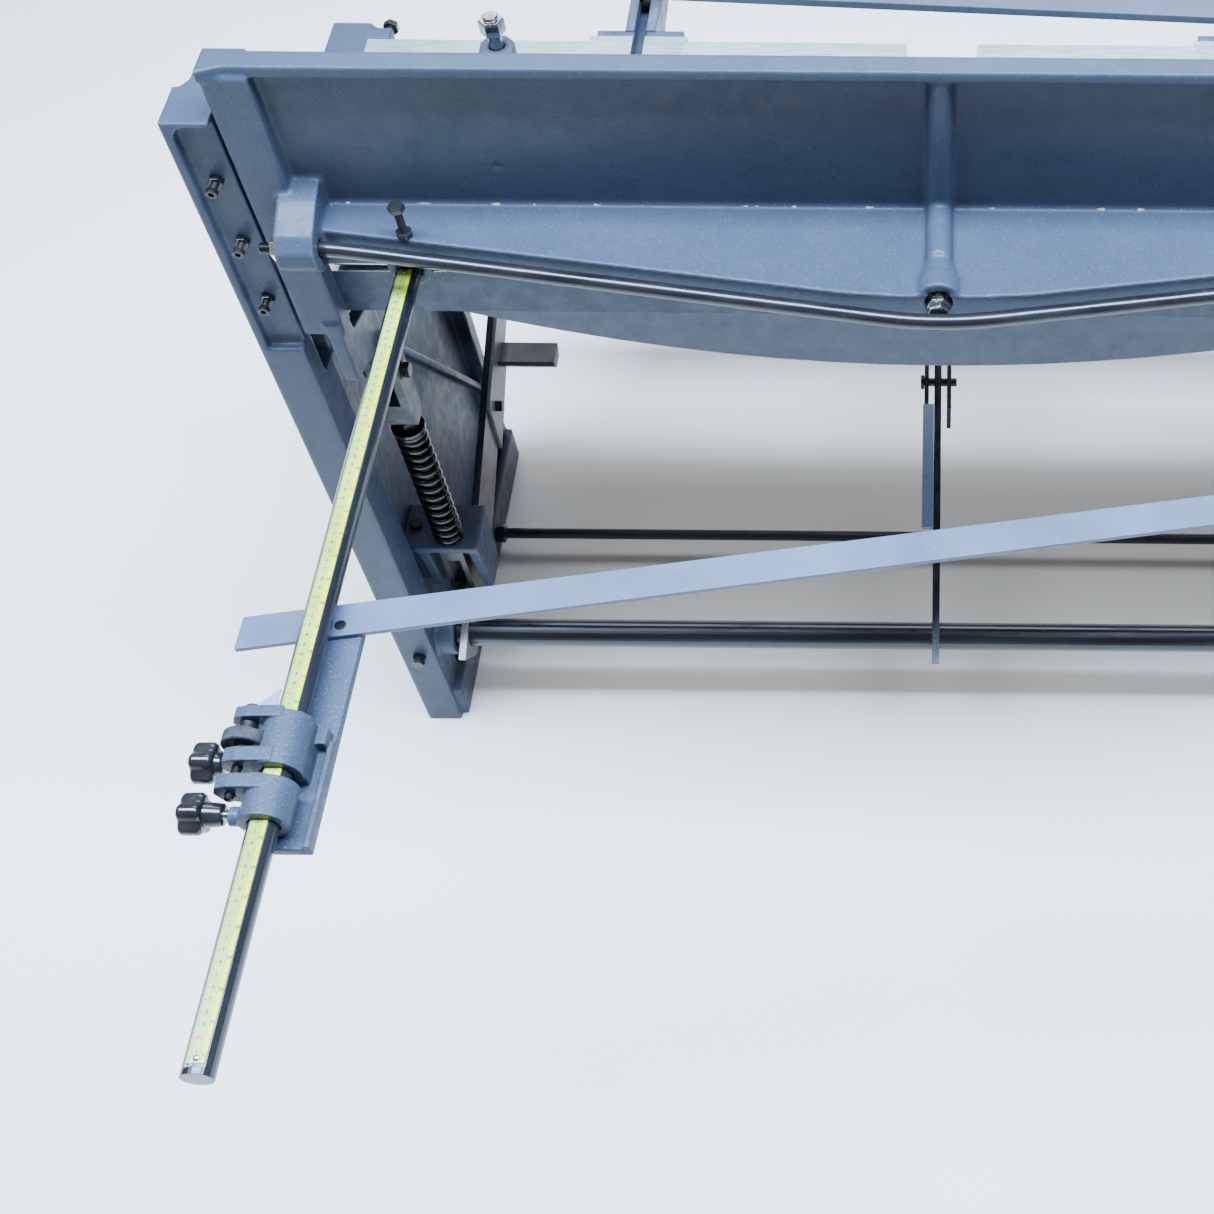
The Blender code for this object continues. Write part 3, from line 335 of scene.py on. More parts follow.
# ---- shape helpers -----------------------------------------------------------------------------
def add(name, mesh, look, body, smooth=35.0):
    """Puts a finished mesh in the scene as a piece on its body; a casting has no sharp edges."""
    piece = bpy.data.objects.new(name, mesh)
    bpy.context.scene.collection.objects.link(piece)
    mesh.name = name
    if not mesh.materials:
        mesh.materials.append(look)
    mesh.shade_smooth()
    if smooth is None:
        normals = piece.modifiers.new("flats", "WEIGHTED_NORMAL")
        normals.weight = 100
    else:
        mesh.set_sharp_from_angle(angle=math.radians(smooth))
    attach(piece, body)
    return piece


def mesh_from(bm):
    """Closes a bmesh into a mesh, with its faces turned outwards."""
    bmesh.ops.recalc_face_normals(bm, faces=bm.faces)
    mesh = bpy.data.meshes.new("piece")
    bm.to_mesh(mesh)
    bm.free()
    return mesh


def clean_copy(node):
    """A CAD node's mesh with its seams welded and its flat faces whole."""
    bm = bmesh.new()
    bm.from_mesh(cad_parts[node].data)
    bmesh.ops.remove_doubles(bm, verts=bm.verts, dist=2e-6)
    bmesh.ops.dissolve_limit(bm, angle_limit=math.radians(1.0), verts=bm.verts, edges=bm.edges)
    for face in bm.faces:
        face.material_index = 0
    return bm


def evaluated(mesh, *modifiers):
    """The mesh with modifiers applied, each given as (type, {setting: value})."""
    holder = bpy.data.objects.new("holder", mesh)
    bpy.context.scene.collection.objects.link(holder)
    for kind, settings in modifiers:
        modifier = holder.modifiers.new(kind.lower(), kind)
        for key, value in settings.items():
            setattr(modifier, key, value)
    bpy.context.view_layer.update()
    graph = bpy.context.evaluated_depsgraph_get()
    made = bpy.data.meshes.new_from_object(holder.evaluated_get(graph))
    bpy.data.objects.remove(holder, do_unlink=True)
    return made


def mirror_mesh(mesh, shift):
    """The mesh at -X, moved forward by shift."""
    twin = mesh.copy()
    twin.transform(Matrix.Translation((0, -shift, 0)) @ Matrix.Diagonal((-1, 1, 1, 1)))
    twin.flip_normals()
    return twin


def sides(body):
    """The bodies of a piece and of its mirrored twin."""
    return (body, body.replace("_right", "_left"))


def both(stem, mesh, look, body, shift=0.0, node=None, smooth=35.0):
    """The piece at +X and its mirrored twin, which may stand for CAD nodes."""
    made = []
    twin = mirror_mesh(mesh, shift)
    for side, shape, on in zip(("right", "left"), (mesh, twin), sides(body)):
        piece = add(f"{stem}_{side}", shape, look, on, smooth)
        if node:
            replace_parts(piece, f"{node}_{side}")
        made.append(piece)
    return made


def bevelled(bm, width, angle=28.0, miter="MITER_ARC"):
    """Rounds a mesh's edges sharper than angle, in two steps."""
    settings = {
        "width": width,
        "segments": 2,
        "limit_method": "ANGLE",
        "angle_limit": math.radians(angle),
        "miter_outer": miter,
    }
    return evaluated(mesh_from(bm), ("BEVEL", settings))


def cast_mesh(bm, voxel, rounds, keep):
    """Runs a casting's sharp edges and corners into soft radii."""
    mesh = mesh_from(bm)
    return evaluated(
        mesh,
        ("REMESH", {"mode": "VOXEL", "voxel_size": voxel, "adaptivity": 0.0}),
        ("SMOOTH", {"factor": 0.5, "iterations": rounds}),
        ("DECIMATE", {"ratio": keep}),
    )


def ring_of(bm, start, turn, radius_at, height, count):
    """A ring of points round start, turned by turn; radius_at gives the radius at an angle."""
    ring = []
    for i in range(count):
        angle = 2 * math.pi * i / count
        r = radius_at(angle)
        ring.append(bm.verts.new(start + turn @ Vector((r * math.cos(angle), r * math.sin(angle), height))))
    return ring


def skin(bm, rings):
    """Joins a stack of equal rings into a closed solid."""
    count = len(rings[0])
    for low, high in zip(rings, rings[1:]):
        for i in range(count):
            j = (i + 1) % count
            bm.faces.new((low[i], low[j], high[j], high[i]))
    bm.faces.new(rings[0][::-1])
    bm.faces.new(rings[-1])


def turned(profile, start, direction, count, twist=0.0, bm=None):
    """A solid of revolution: profile points are (radius, height) from start along direction."""
    bm = bm or bmesh.new()
    turn = direction.to_track_quat("Z", "Y").to_matrix()
    rings = []
    for radius, height in profile:
        if radius < 1e-7:
            rings.append([bm.verts.new(start + turn @ Vector((0, 0, height)))])
            continue
        ring = []
        for i in range(count):
            angle = twist + 2 * math.pi * i / count
            local = Vector((radius * math.cos(angle), radius * math.sin(angle), height))
            ring.append(bm.verts.new(start + turn @ local))
        rings.append(ring)
    for low, high in zip(rings, rings[1:]):
        for i in range(count):
            j = (i + 1) % count
            corners = [low[i % len(low)], low[j % len(low)], high[j % len(high)], high[i % len(high)]]
            unique = list(dict.fromkeys(corners))
            if len(unique) > 2:
                bm.faces.new(unique)
    return bm


def hexagon(across, height):
    """Profile of a chamfered hexagon head or nut, for six sides."""
    r = across / math.sqrt(3)
    flank = [(r * 0.97, 0), (r, height * 0.08), (r, height * 0.82), (r * 0.90, height)]
    return [(0, 0), *flank, (0, height)]


def thread(radius, start, end, pitch=0.0015, depth=0.0006):
    """Profile of a threaded shank between two heights, closed at both ends."""
    count = max(2, int((end - start) / pitch))
    step = (end - start) / count
    points = [(0, start), (radius - depth, start)]
    for i in range(count):
        points += [(radius, start + (i + 0.5) * step), (radius - depth, start + (i + 1) * step)]
    return [*points, (0, end)]


def disc(radius, height, edge=0.0004):
    """Profile of a plain round slice with broken edges."""
    rim = [(radius - edge, 0), (radius, edge), (radius, height - edge), (radius - edge, height)]
    return [(0, 0), *rim, (0, height)]


def tube(points, radius, detail):
    """A round bar along points."""
    curve = bpy.data.curves.new("tube", "CURVE")
    curve.dimensions = "3D"
    curve.bevel_depth = radius
    curve.bevel_resolution = detail
    curve.use_fill_caps = True
    spline = curve.splines.new("POLY")
    spline.points.add(len(points) - 1)
    for point, co in zip(spline.points, points):
        point.co = (*co, 1)
    holder = bpy.data.objects.new("tube", curve)
    bpy.context.scene.collection.objects.link(holder)
    bpy.context.view_layer.update()
    graph = bpy.context.evaluated_depsgraph_get()
    mesh = bpy.data.meshes.new_from_object(holder.evaluated_get(graph))
    bpy.data.objects.remove(holder, do_unlink=True)
    bm = bmesh.new()
    bm.from_mesh(mesh)
    bmesh.ops.remove_doubles(bm, verts=bm.verts, dist=1e-7)
    return mesh_from(bm)


def box_into(bm, low, high):
    """Adds a plain block between two corners to a mesh."""
    made = bmesh.ops.create_cube(bm, size=1.0)["verts"]
    size = [abs(b - a) for a, b in zip(low, high)]
    middle = (Vector(low) + Vector(high)) / 2
    bmesh.ops.transform(bm, verts=made, matrix=Matrix.Translation(middle) @ Matrix.Diagonal((*size, 1)))


# ---- castings ----------------------------------------------------------------------------------
def make_castings():
    """The painted castings, with soft edges where they were rough cast."""
    stand = cast_mesh(clean_copy("stand_right"), 0.0022, 4, 0.30)
    both("side_frame", stand, PAINT, "frame", node="stand", smooth=None)
    seat = cast_mesh(clean_copy("spring_seat_right"), 0.0016, 3, 0.30)
    both("spring_seat_casting", seat, PAINT, "frame", node="spring_seat", smooth=None)
    head = cast_mesh(clean_copy("crosshead"), 0.0022, 4, 0.30)
    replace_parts(add("crosshead_casting", head, PAINT, "beam", None), "crosshead")
    arm = bevelled(clean_copy("support_arm_right"), 0.0012)
    both("support_arm_casting", arm, PAINT, "frame", node="support_arm")
    bar = bevelled(clean_copy("hold_down"), 0.0010)
    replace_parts(add("hold_down_casting", bar, PAINT, "hold_down_bar"), "hold_down")


def make_bed():
    """The table: ground faces on top, paint on the rest."""
    mesh = bevelled(clean_copy("bed"), 0.0005, 40.0, "MITER_SHARP")
    mesh.materials.clear()
    mesh.materials.append(PAINT)
    mesh.materials.append(GROUND_PAINTED_REFLECTION)
    for face in mesh.polygons:
        # The top faces take the ground steel with its painted cyan reflection.
        face.material_index = int(face.center.z > TABLE_TOP - 0.0006)
    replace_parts(add("table_casting", mesh, PAINT, "frame"), "bed")


def make_back_gauge():
    """The back gauge's slides and clamp collars."""
    slide = cast_mesh(clean_copy("gauge_slide_right"), 0.0008, 9, 0.34)
    both("slide_casting", slide, ROUGH_PAINT, "slide_right", SHIFT_T, "gauge_slide", None)
    collar = cast_mesh(clean_copy("gauge_collar_right"), 0.0007, 10, 0.36)
    both("collar_casting", collar, ROUGH_PAINT, "collar_right", SHIFT_T, "gauge_collar", None)


# ---- plain CAD nodes that keep their shape -----------------------------------------------------
def dark_back(centre, normal):
    """Painted at the rear, ground on top and in front."""
    return int(normal.z > 0.7 or normal.y < -0.7)


def flat_faces(centre, normal):
    """The sides of a bar on edge."""
    return int(abs(normal.x) > 0.9)


def bracket_faces(centre, normal):
    """The bracket's bolt and the stub towards the middle, which are black."""
    plate_x = PULL_X - 0.0104
    return int(abs(centre.x) < plate_x)


TWO_LOOKS = {  # node stem: (second look, which faces have it)
    "lower_blade": (BLADE, dark_back),
    "treadle_arm": (ARM_SIDE, flat_faces),
    "treadle_bracket": (STUB, bracket_faces),
}
KEPT = {  # node stem: (look, edge radius)
    "gib": (BLADE, 0.0004),
    "gauge_rod": (BLACK_Y, 0.0006),
    "gauge_scale": (TAPE, 0.0),
    "gauge_pointer": (STRIP, 0.0003),
    "treadle_arm": (FLAME_CUT, 0.0009),
    "treadle_pull_pin": (OXIDE, 0.0006),
    "treadle_bracket": (BRACKET, 0.0008),
    "pull_clevis": (CLEVIS_PAINT, 0.0),
    "pull_rod": (OXIDE, 0.0),
    "bed_jack_screw": (OXIDE, 0.0006),
}
KEPT_SINGLE = {  # node: (look, edge radius)
    "tie_rod": (BLACK_X, 0.0005),
    "lower_blade": (PAINT, 0.0003),
    "upper_blade": (BLADE, 0.0003),
    "treadle_shaft": (BLACK_X, 0.0012),
    "treadle_arm_middle": (FLAME_CUT, 0.0009),
    "treadle_link_middle": (FLAME_CUT, 0.0006),
    "treadle_clevis_pin": (OXIDE, 0.0006),
    "middle_arm_strip": (STRIP, 0.0006),
    "treadle_board": (FLAME_CUT, 0.0012),
    "front_gauge_bar": (DARK_BAR, 0.0008),
    "back_gauge_bar": (BAR_PAINT, 0.0005),
}


def dress_kept_nodes():
    """Gives the nodes that stay as they are their looks, and rounds their edges."""
    looks = dict(KEPT_SINGLE)
    for stem, look in KEPT.items():
        looks[stem + "_right"] = looks[stem + "_left"] = look
    for name, (look, radius) in looks.items():
        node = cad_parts[name]
        node.data.materials.clear()
        node.data.materials.append(look)
        stem = name.replace("_right", "").replace("_left", "")
        second, chosen = TWO_LOOKS.get(stem, (None, None))
        if second:
            node.data.materials.append(second)
        for face in node.data.polygons:
            face.material_index = chosen(face.center, face.normal) if second else 0
        if not radius:
            continue
        weld = node.modifiers.new("weld", "WELD")
        weld.merge_threshold = 2e-6
        bevel = node.modifiers.new("bevel", "BEVEL")
        bevel.width = radius
        bevel.segments = 2
        bevel.limit_method = "ANGLE"
        bevel.angle_limit = math.radians(35)


# ---- tape --------------------------------------------------------------------------------------
TAPE_ZERO_T = -0.016
TAPE_END_CM = 82
CM_PER_INCH = 2.54
TAPE_RIVETS_T = (-0.013, -0.831)
TAPE_LIFT = 0.00006  # how far the print stands on the tape


def make_tape_marks():
    """Centimetre and inch marks, rivets and numbers on the scale, for both rods."""
    top, outer, inner = TAPE_HIGH.z, TAPE_HIGH.x, TAPE_LOW.x
    low, high, margin = top - 0.00002, top + TAPE_LIFT, 0.0002
    bm = bmesh.new()
    for mm in range(4, TAPE_END_CM * 10 + 1):
        reach = 0.0034 if mm % 10 == 0 else 0.0023 if mm % 5 == 0 else 0.0013
        half = 0.00026 if mm % 10 == 0 else 0.00018
        y = REAR_Y - TAPE_ZERO_T + mm * 0.001
        box_into(bm, (outer - reach, y - half, low), (outer - margin, y + half, high))
    half = 0.00020
    for eighth in range(2, int(TAPE_END_CM / CM_PER_INCH * 8)):
        reach = 0.0030 if eighth % 8 == 0 else 0.0020 if eighth % 4 == 0 else 0.0012
        y = REAR_Y - TAPE_ZERO_T + eighth * CM_PER_INCH / 100 / 8
        box_into(bm, (inner + margin, y - half, low), (inner + reach, y + half, high))
    both("tape_ticks", mesh_from(bm), INK_DARK, "beam")
    for side, shift in (("right", 1), ("left", -1)):
        centimetres = range(1, TAPE_END_CM + 1)
        tens = {cm: str(cm) for cm in centimetres if cm % 10 == 0}
        units = {cm: str(cm % 10) for cm in centimetres if cm % 10}
        last_inch = int(TAPE_END_CM / CM_PER_INCH)
        inches = {CM_PER_INCH * inch: str(inch) for inch in range(1, last_inch + 1)}
        number_mesh(f"tape_tens_{side}", shift * (ROD_X + 0.0012), tens, 0.0054, INK_RED)
        number_mesh(f"tape_units_{side}", shift * (ROD_X + 0.0012), units, 0.0050, INK_DARK)
        number_mesh(f"tape_inches_{side}", shift * (ROD_X - 0.0048), inches, 0.0044, INK_DARK)
    rivet = bmesh.new()
    head = [(0, 0), (0.0026, 0), (0.0022, 0.0006), (0.0012, 0.0010), (0, 0.0011)]
    for t in TAPE_RIVETS_T:
        turned(head, place(ROD_X, t, top), Z_AXIS, 16, bm=rivet)
    both("tape_rivets", mesh_from(rivet), PLATED, "beam")


def number_mesh(name, x, marks, size, look):
    """One mesh of numbers along the tape: marks gives each number's text by its place in centimetres."""
    bm = bmesh.new()
    half_turn = Matrix.Rotation(math.pi, 4, "Z")
    for cm, label in marks.items():
        text = bpy.data.curves.new("number", "FONT")
        text.body = label
        text.size = size
        text.offset = 0.00010
        text.align_x = "CENTER"
        text.align_y = "CENTER"
        text.extrude = TAPE_LIFT / 2
        text.resolution_u = 2
        holder = bpy.data.objects.new("number", text)
        bpy.context.scene.collection.objects.link(holder)
        bpy.context.view_layer.update()
        graph = bpy.context.evaluated_depsgraph_get()
        mesh = bpy.data.meshes.new_from_object(holder.evaluated_get(graph))
        middle = Vector((x, REAR_Y - TAPE_ZERO_T + cm * 0.01, TAPE_HIGH.z + TAPE_LIFT / 2))
        mesh.transform(Matrix.Translation(middle) @ half_turn)
        bm.from_mesh(mesh)
        bpy.data.objects.remove(holder, do_unlink=True)
        bpy.data.curves.remove(text)
    bmesh.ops.remove_doubles(bm, verts=bm.verts, dist=1e-7)
    add(name, mesh_from(bm), look, "beam")


# ---- springs -----------------------------------------------------------------------------------
def make_springs():
    """The return springs, as closed-ended coils of black wire."""
    turns, per_turn, wire = 15, 28, 0.0044
    radius = (SPRING_HIGH.x - SPRING_LOW.x) / 2 - wire
    low, high = SPRING_LOW.z + wire, SPRING_HIGH.z - wire
    points = []
    for i in range(turns * per_turn + 1):
        # the coils at both ends are closed
        share = i / (turns * per_turn)
        closed = 0.5 - 0.5 * math.cos(math.pi * min(1.0, max(0.0, (share - 0.03) / 0.94)))
        eased = 0.12 * closed + 0.88 * min(1.0, max(0.0, (share - 0.045) / 0.91))
        angle = 2 * math.pi * i / per_turn
        x, t = PULL_X + radius * math.cos(angle), PULL_T + radius * math.sin(angle)
        points.append(place(x, t, low + (high - low) * eased))
    spring = tube(points, wire, 3)
    coils = both("spring_coil", spring, SPRING, "frame", node="return_spring", smooth=None)
    for piece in coils:
        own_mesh(piece)


# ---- knobs and adjustment screws ---------------------------------------------------------------
def lobed_knob(start, direction, radius, depth, height):
    """A five-lobed knob with a rounded rim and a dished face, from start along direction."""
    soft, steps, lobes, count = 0.0042, 6, 5, 90
    rim = []
    for step in range(steps + 1):
        angle = math.pi / 2 * step / steps
        rim.append((soft * (1 - math.sin(angle)), soft * (1 - math.cos(angle))))
    for step in range(steps + 1):
        angle = math.pi / 2 * step / steps
        rim.append((soft * (1 - math.cos(angle)), height - soft * (1 - math.sin(angle))))

    def lobed(inset):
        return lambda angle: radius - depth * (0.5 - 0.5 * math.cos(lobes * angle)) ** 1.3 - inset

    bm = bmesh.new()
    turn = direction.to_track_quat("Z", "Y").to_matrix()
    rings = [ring_of(bm, start, turn, lobed(inset), high, count) for inset, high in rim]
    for share, sunk in ((0.62, 0.0003), (0.52, 0.0016), (0.20, 0.0020)):
        round_at = radius * share
        rings.append(ring_of(bm, start, turn, lambda angle: round_at, height - sunk, count))
    skin(bm, rings)
    return bm


def make_knobs():
    """The lock knobs of both gauges."""
    for stem, lobes_x, hub_x, body in (
        ("slide_lock_knob", 0.5905, 0.5855, "slide_knob_right"),
        ("collar_lock_knob", 0.5885, 0.5740, "collar_knob_right"),
    ):
        low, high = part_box(f"{stem}_right")
        centre = (low.y + high.y) / 2
        start = Vector((lobes_x, centre, ROD_Z))
        knob = lobed_knob(start, X_AXIS, 0.0182, 0.0034, 0.019)
        hub_end = lobes_x - hub_x + 0.0035
        hub = [(0, 0), (0.0086, 0), (0.0094, 0.0008), (0.0110, hub_end), (0, hub_end)]
        turned(hub, Vector((hub_x, centre, ROD_Z)), X_AXIS, 36, bm=knob)
        both(stem + "_head", mesh_from(knob), KNOB, body, SHIFT_T, stem, 50)
        shank = thread(0.0041, 0.0, hub_x - low.x + 0.0005, 0.00125)
        stud = turned(shank, Vector((low.x, centre, ROD_Z)), X_AXIS, 20)
        look, slot = (PLATED, "plated_steel") if "collar" in stem else (OXIDE, "black_oxide")
        both(stem + "_stud", mesh_from(stud), look, body, SHIFT_T)
    hub_height = 0.012
    hub = [(0, 0), (0.0105, 0), (0.0112, 0.0006), (0.0125, 0.015), (0, 0.015)]
    for side in ("right", "left"):
        low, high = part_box(f"front_gauge_knob_{side}")
        centre = Vector(((low.x + high.x) / 2, (low.y + high.y) / 2, low.z))
        lobes_height = high.z - low.z - hub_height
        knob = lobed_knob(centre + Z_AXIS * hub_height, Z_AXIS, 0.0198, 0.0036, lobes_height)
        turned(hub, centre, Z_AXIS, 36, bm=knob)
        head = add(f"front_knob_head_{side}", mesh_from(knob), KNOB, f"front_knob_{side}", 50)
        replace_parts(head, f"front_gauge_knob_{side}")


def make_fine_screws():
    """The knurled wheels of the back gauge, with their black screws."""
    wheel_t, teeth, width, notch = -0.5555, 80, 0.012, 0.00035
    profile = [(0.0062, 0.0), (0.0012, 0.0), (0.0, 0.0009)]
    profile += [(inset, width - across) for inset, across in reversed(profile)]
    start = place(EAR_X, wheel_t, EAR_Z)
    bm = bmesh.new()
    rings = []
    for inset, across in profile:
        ring = []
        for i in range(teeth * 2):
            angle = math.pi * i / teeth
            r = 0.0180 - inset - (notch if i % 2 and inset < 0.005 else 0.0)
            ring.append(bm.verts.new(start + Vector((r * math.cos(angle), across, r * math.sin(angle)))))
        rings.append(ring)
    skin(bm, rings)
    wheel = mesh_from(bm)
    body, node = "fine_screw_right", "fine_adjust_screw"
    both("fine_wheel", wheel, WHEEL_PAINT, body, SHIFT_T, node, 25)

    end = WHEEL_HIGH.y - WHEEL_LOW.y
    start = Vector((EAR_X, WHEEL_LOW.y, EAR_Z))
    screw = turned(thread(0.0041, 0.0, end, 0.00125, 0.0005), start, BACK, 24)
    turned(disc(0.0068, 0.0050, 0.0009), start, BACK, 28, bm=screw)
    for near, far in ((-0.5443, -0.5560), (-0.5670, -0.5722)):
        shoulder = disc(0.0078, near - far, 0.0006)
        turned(shoulder, place(EAR_X, near, EAR_Z), BACK, 28, bm=screw)
    both("fine_screw_thread", mesh_from(screw), OXIDE, body, SHIFT_T)


# ---- truss -------------------------------------------------------------------------------------
def rounded_path(corners, reach, steps=8):
    """The corners' polyline with each inner corner run round over reach on both sides."""
    points = [corners[0]]
    for before, corner, after in zip(corners, corners[1:], corners[2:]):
        first = corner + (before - corner).normalized() * min(reach, (before - corner).length * 0.45)
        last = corner + (after - corner).normalized() * min(reach, (after - corner).length * 0.45)
        for step in range(steps + 1):
            share = step / steps
            points.append((1 - share) ** 2 * first + 2 * share * (1 - share) * corner + share ** 2 * last)
    return [*points, corners[-1]]


def make_truss():
    """The bent rod under the shelf's edge, with its nuts and the screw that tensions it."""
    flat_t = TRUSS_MIDDLE_T + (TRUSS_END_T - TRUSS_MIDDLE_T) * TRUSS_FLAT / TRUSS_END_X
    half = [place(LUG_OUT, TRUSS_END_T, TRUSS_Z), place(TRUSS_END_X, TRUSS_END_T, TRUSS_Z)]
    half.append(place(TRUSS_FLAT, flat_t, TRUSS_Z))
    other = [Vector((-p.x, p.y, p.z)) for p in reversed(half)]
    rod = tube(rounded_path([*half, *other], 0.030), TRUSS_R, 6)
    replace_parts(add("truss_bar", rod, BLACK_X, "beam", None), "truss_rod")
    ends, nuts = bmesh.new(), bmesh.new()
    for side in (-1, 1):
        start = place(side * (LUG_OUT - 0.004), TRUSS_END_T, TRUSS_Z)
        turned(thread(0.0060, 0.0, 0.0245), start, X_AXIS * side, 20, bm=ends)
        outside = place(side * (LUG_OUT + TOUCH), TRUSS_END_T, TRUSS_Z)
        turned(hexagon(0.0212, 0.0082), outside, X_AXIS * side, 6, 0.2, bm=nuts)
    add("truss_threads", mesh_from(ends), OXIDE, "beam", 40)
    add("truss_nuts", mesh_from(nuts), PLATED, "beam", 20)

    z = TRUSS_Z + 0.002
    tip_t = flat_t + TRUSS_R + TOUCH
    jack = turned(hexagon(0.0192, 0.0080), place(0, tip_t + 0.0080, z), BACK, 6, 0.35)
    turned(hexagon(0.0196, 0.0068), place(0, BOSS_T - 0.0002, z), BACK, 6, 0.1, bm=jack)
    length = BOSS_T + 0.020 - tip_t - 0.004
    turned(thread(0.0060, 0.0, length), place(0, BOSS_T + 0.020, z), BACK, 20, bm=jack)
    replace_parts(add("truss_jack", mesh_from(jack), STEEL, "beam", 20), "truss_jack_screw")


def make_filler():
    """Body filler showing through the paint in the corner above the shelf."""
    chance = random.Random(7)
    bm = bmesh.new()
    rows = []
    step, half, gap_half = 0.006, 0.600, 0.042  # the middle rib stands in the gap
    corner = (HEAD_WALL_T + 0.001, SHELF_TOP - 0.001)
    for i in range(int(2 * half / step) + 1):
        x = -half + i * step
        if abs(x) < gap_half:
            rows.append(None)
            continue
        size = 0.0024 + 0.0022 * chance.random()
        outline = (corner, (corner[0], SHELF_TOP + size), (HEAD_WALL_T - size, corner[1]))
        rows.append([bm.verts.new(place(x, t, z)) for t, z in outline])
    for near, far in zip(rows, rows[1:]):
        if near and far:
            for i in range(3):
                j = (i + 1) % 3
                bm.faces.new((near[i], near[j], far[j], far[i]))
    for index, row in enumerate(rows):
        before = rows[index - 1] if index else None
        after = rows[index + 1] if index + 1 < len(rows) else None
        if row and (not before or not after):
            bm.faces.new(row)
    add("shelf_filler", mesh_from(bm), FILLER, "beam", 60)


# ---- fasteners ---------------------------------------------------------------------------------
def make_gib_screws():
    """Three socket screws with lock nuts in each side frame's rear pocket."""
    x, pocket_t, heights = 0.7035, 0.0122, (0.988, 0.910, 0.830)
    shank = thread(0.0040, 0.006, 0.017)
    outside = [(0, 0.016), (0.0052, 0.016), (0.0056, 0.0165), (0.0056, 0.0215), (0.0050, 0.022)]
    socket = [(0.0028, 0.022), (0.0026, 0.0195), (0, 0.0195)]
    screws, nuts = bmesh.new(), bmesh.new()
    for z in heights:
        start = place(x, pocket_t, z)
        turned(hexagon(0.0135, 0.0065), start, BACK, 6, bm=nuts)
        turned(shank, start, BACK, 16, bm=screws)
        turned(outside + socket, start, BACK, 20, bm=screws)
    both("gib_screws", mesh_from(screws), OXIDE, "frame")
    both("gib_lock_nuts", mesh_from(nuts), OXIDE, "frame")


def make_shaft_bolts():
    """The bolts with lock nuts that hold the treadle's shaft."""
    shaft = place(0.705, 0.0, SHAFT_Z)
    bolt = turned(hexagon(0.0165, 0.0075), shaft, BACK, 6, 0.3)
    turned(hexagon(0.015, 0.007), shaft + BACK * 0.0075, BACK, 6, 0.0, bm=bolt)
    both("shaft_set_bolt", mesh_from(bolt), OXIDE, "frame", smooth=20)


def make_crosshead_bolts():
    """The clevises' pivot bolts and the screws that clamp the back gauge's rods."""
    clevis_half, washer, pivot_z = 0.018, 0.0016, 0.635
    pivot = bmesh.new()
    for direction in (-1, 1):
        face = place(PULL_X + direction * clevis_half, PULL_T, pivot_z)
        turned(disc(0.0115, washer), face, X_AXIS * direction, 24, bm=pivot)
    outer = place(PULL_X + clevis_half + washer, PULL_T, pivot_z)
    inner = place(PULL_X - clevis_half - washer, PULL_T, pivot_z)
    turned(hexagon(0.0165, 0.0075), inner, -X_AXIS, 6, bm=pivot)
    turned(hexagon(0.0165, 0.0065), outer, X_AXIS, 6, 0.4, bm=pivot)
    both("clevis_pivot_bolt", mesh_from(pivot), OXIDE, "beam", smooth=20)

    shelf = place(CLAMP_X, CLAMP_T, SHELF_TOP + TOUCH)
    head = place(CLAMP_X, CLAMP_T, 0.9830)
    clamp = turned(thread(0.0040, 0.0, 0.0335), shelf, Z_AXIS, 18)
    turned(hexagon(0.0148, 0.0065), head, Z_AXIS, 6, 0.3, bm=clamp)
    turned(hexagon(0.0150, 0.0060), shelf, Z_AXIS, 6, 0.9, bm=clamp)
    mesh = mesh_from(clamp)
    both("rod_clamp_screw", mesh, OXIDE, "beam", node="rod_clamp_bolt", smooth=25)


def make_hold_down_studs():
    """The plated studs that carry the hold-down bar, with their nuts."""
    low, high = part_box("hold_down_rod_right")
    foot, nut = place(HOLD_X, HOLD_T, low.z), place(HOLD_X, HOLD_T, 1.1152)
    post = turned(disc(0.0070, 0.214, 0.0006), foot, Z_AXIS, 28)
    turned(thread(0.0068, 0.205, high.z - low.z), foot, Z_AXIS, 28, bm=post)
    turned(hexagon(0.0212, 0.0142), nut, Z_AXIS, 6, 0.2, bm=post)
    body, node = "hold_down_bar", "hold_down_rod"
    both("hold_down_stud", mesh_from(post), STEEL, body, node=node, smooth=25)


def make_frame_bolts():
    """The bolts of the springs' seats and of the feet, with their washers."""
    seat_top = place(0.6900, 0.1060, SEAT_TOP)
    seat = turned(hexagon(0.0150, 0.0070), seat_top + Z_AXIS * 0.0015, Z_AXIS, 6, 0.4)
    turned(disc(0.0086, 0.0016), seat_top, Z_AXIS, 24, bm=seat)
    both("spring_seat_bolt", mesh_from(seat), OXIDE, "frame", smooth=25)

    foot_top = place(0.6965, 0.0680, 0.0140)
    washer_top = foot_top + Z_AXIS * 0.0020
    anchor = turned(hexagon(0.0160, 0.0100), washer_top, Z_AXIS, 6, 0.1)
    turned(disc(0.0092, 0.0021), foot_top, Z_AXIS, 28, bm=anchor)
    turned(thread(0.0050, 0.0, 0.0360), washer_top, Z_AXIS, 18, bm=anchor)
    both("anchor_bolt", mesh_from(anchor), OXIDE, "frame", smooth=25)


def make_bar_screws():
    """The countersunk screws that hold the back gauge's bar to its slides."""
    hole = place(0.526, -0.4275, BAR_TOP + 0.00005)
    head = [(0, 0), (0.0052, 0), (0.0048, 0.0003)]
    socket = [(0.0021, 0.0003), (0.0019, -0.0004), (0, -0.0004)]
    screw = turned(head + socket, hole, Z_AXIS, 28)
    both("gauge_bar_screw", mesh_from(screw), OXIDE, "slide_right", SHIFT_T)


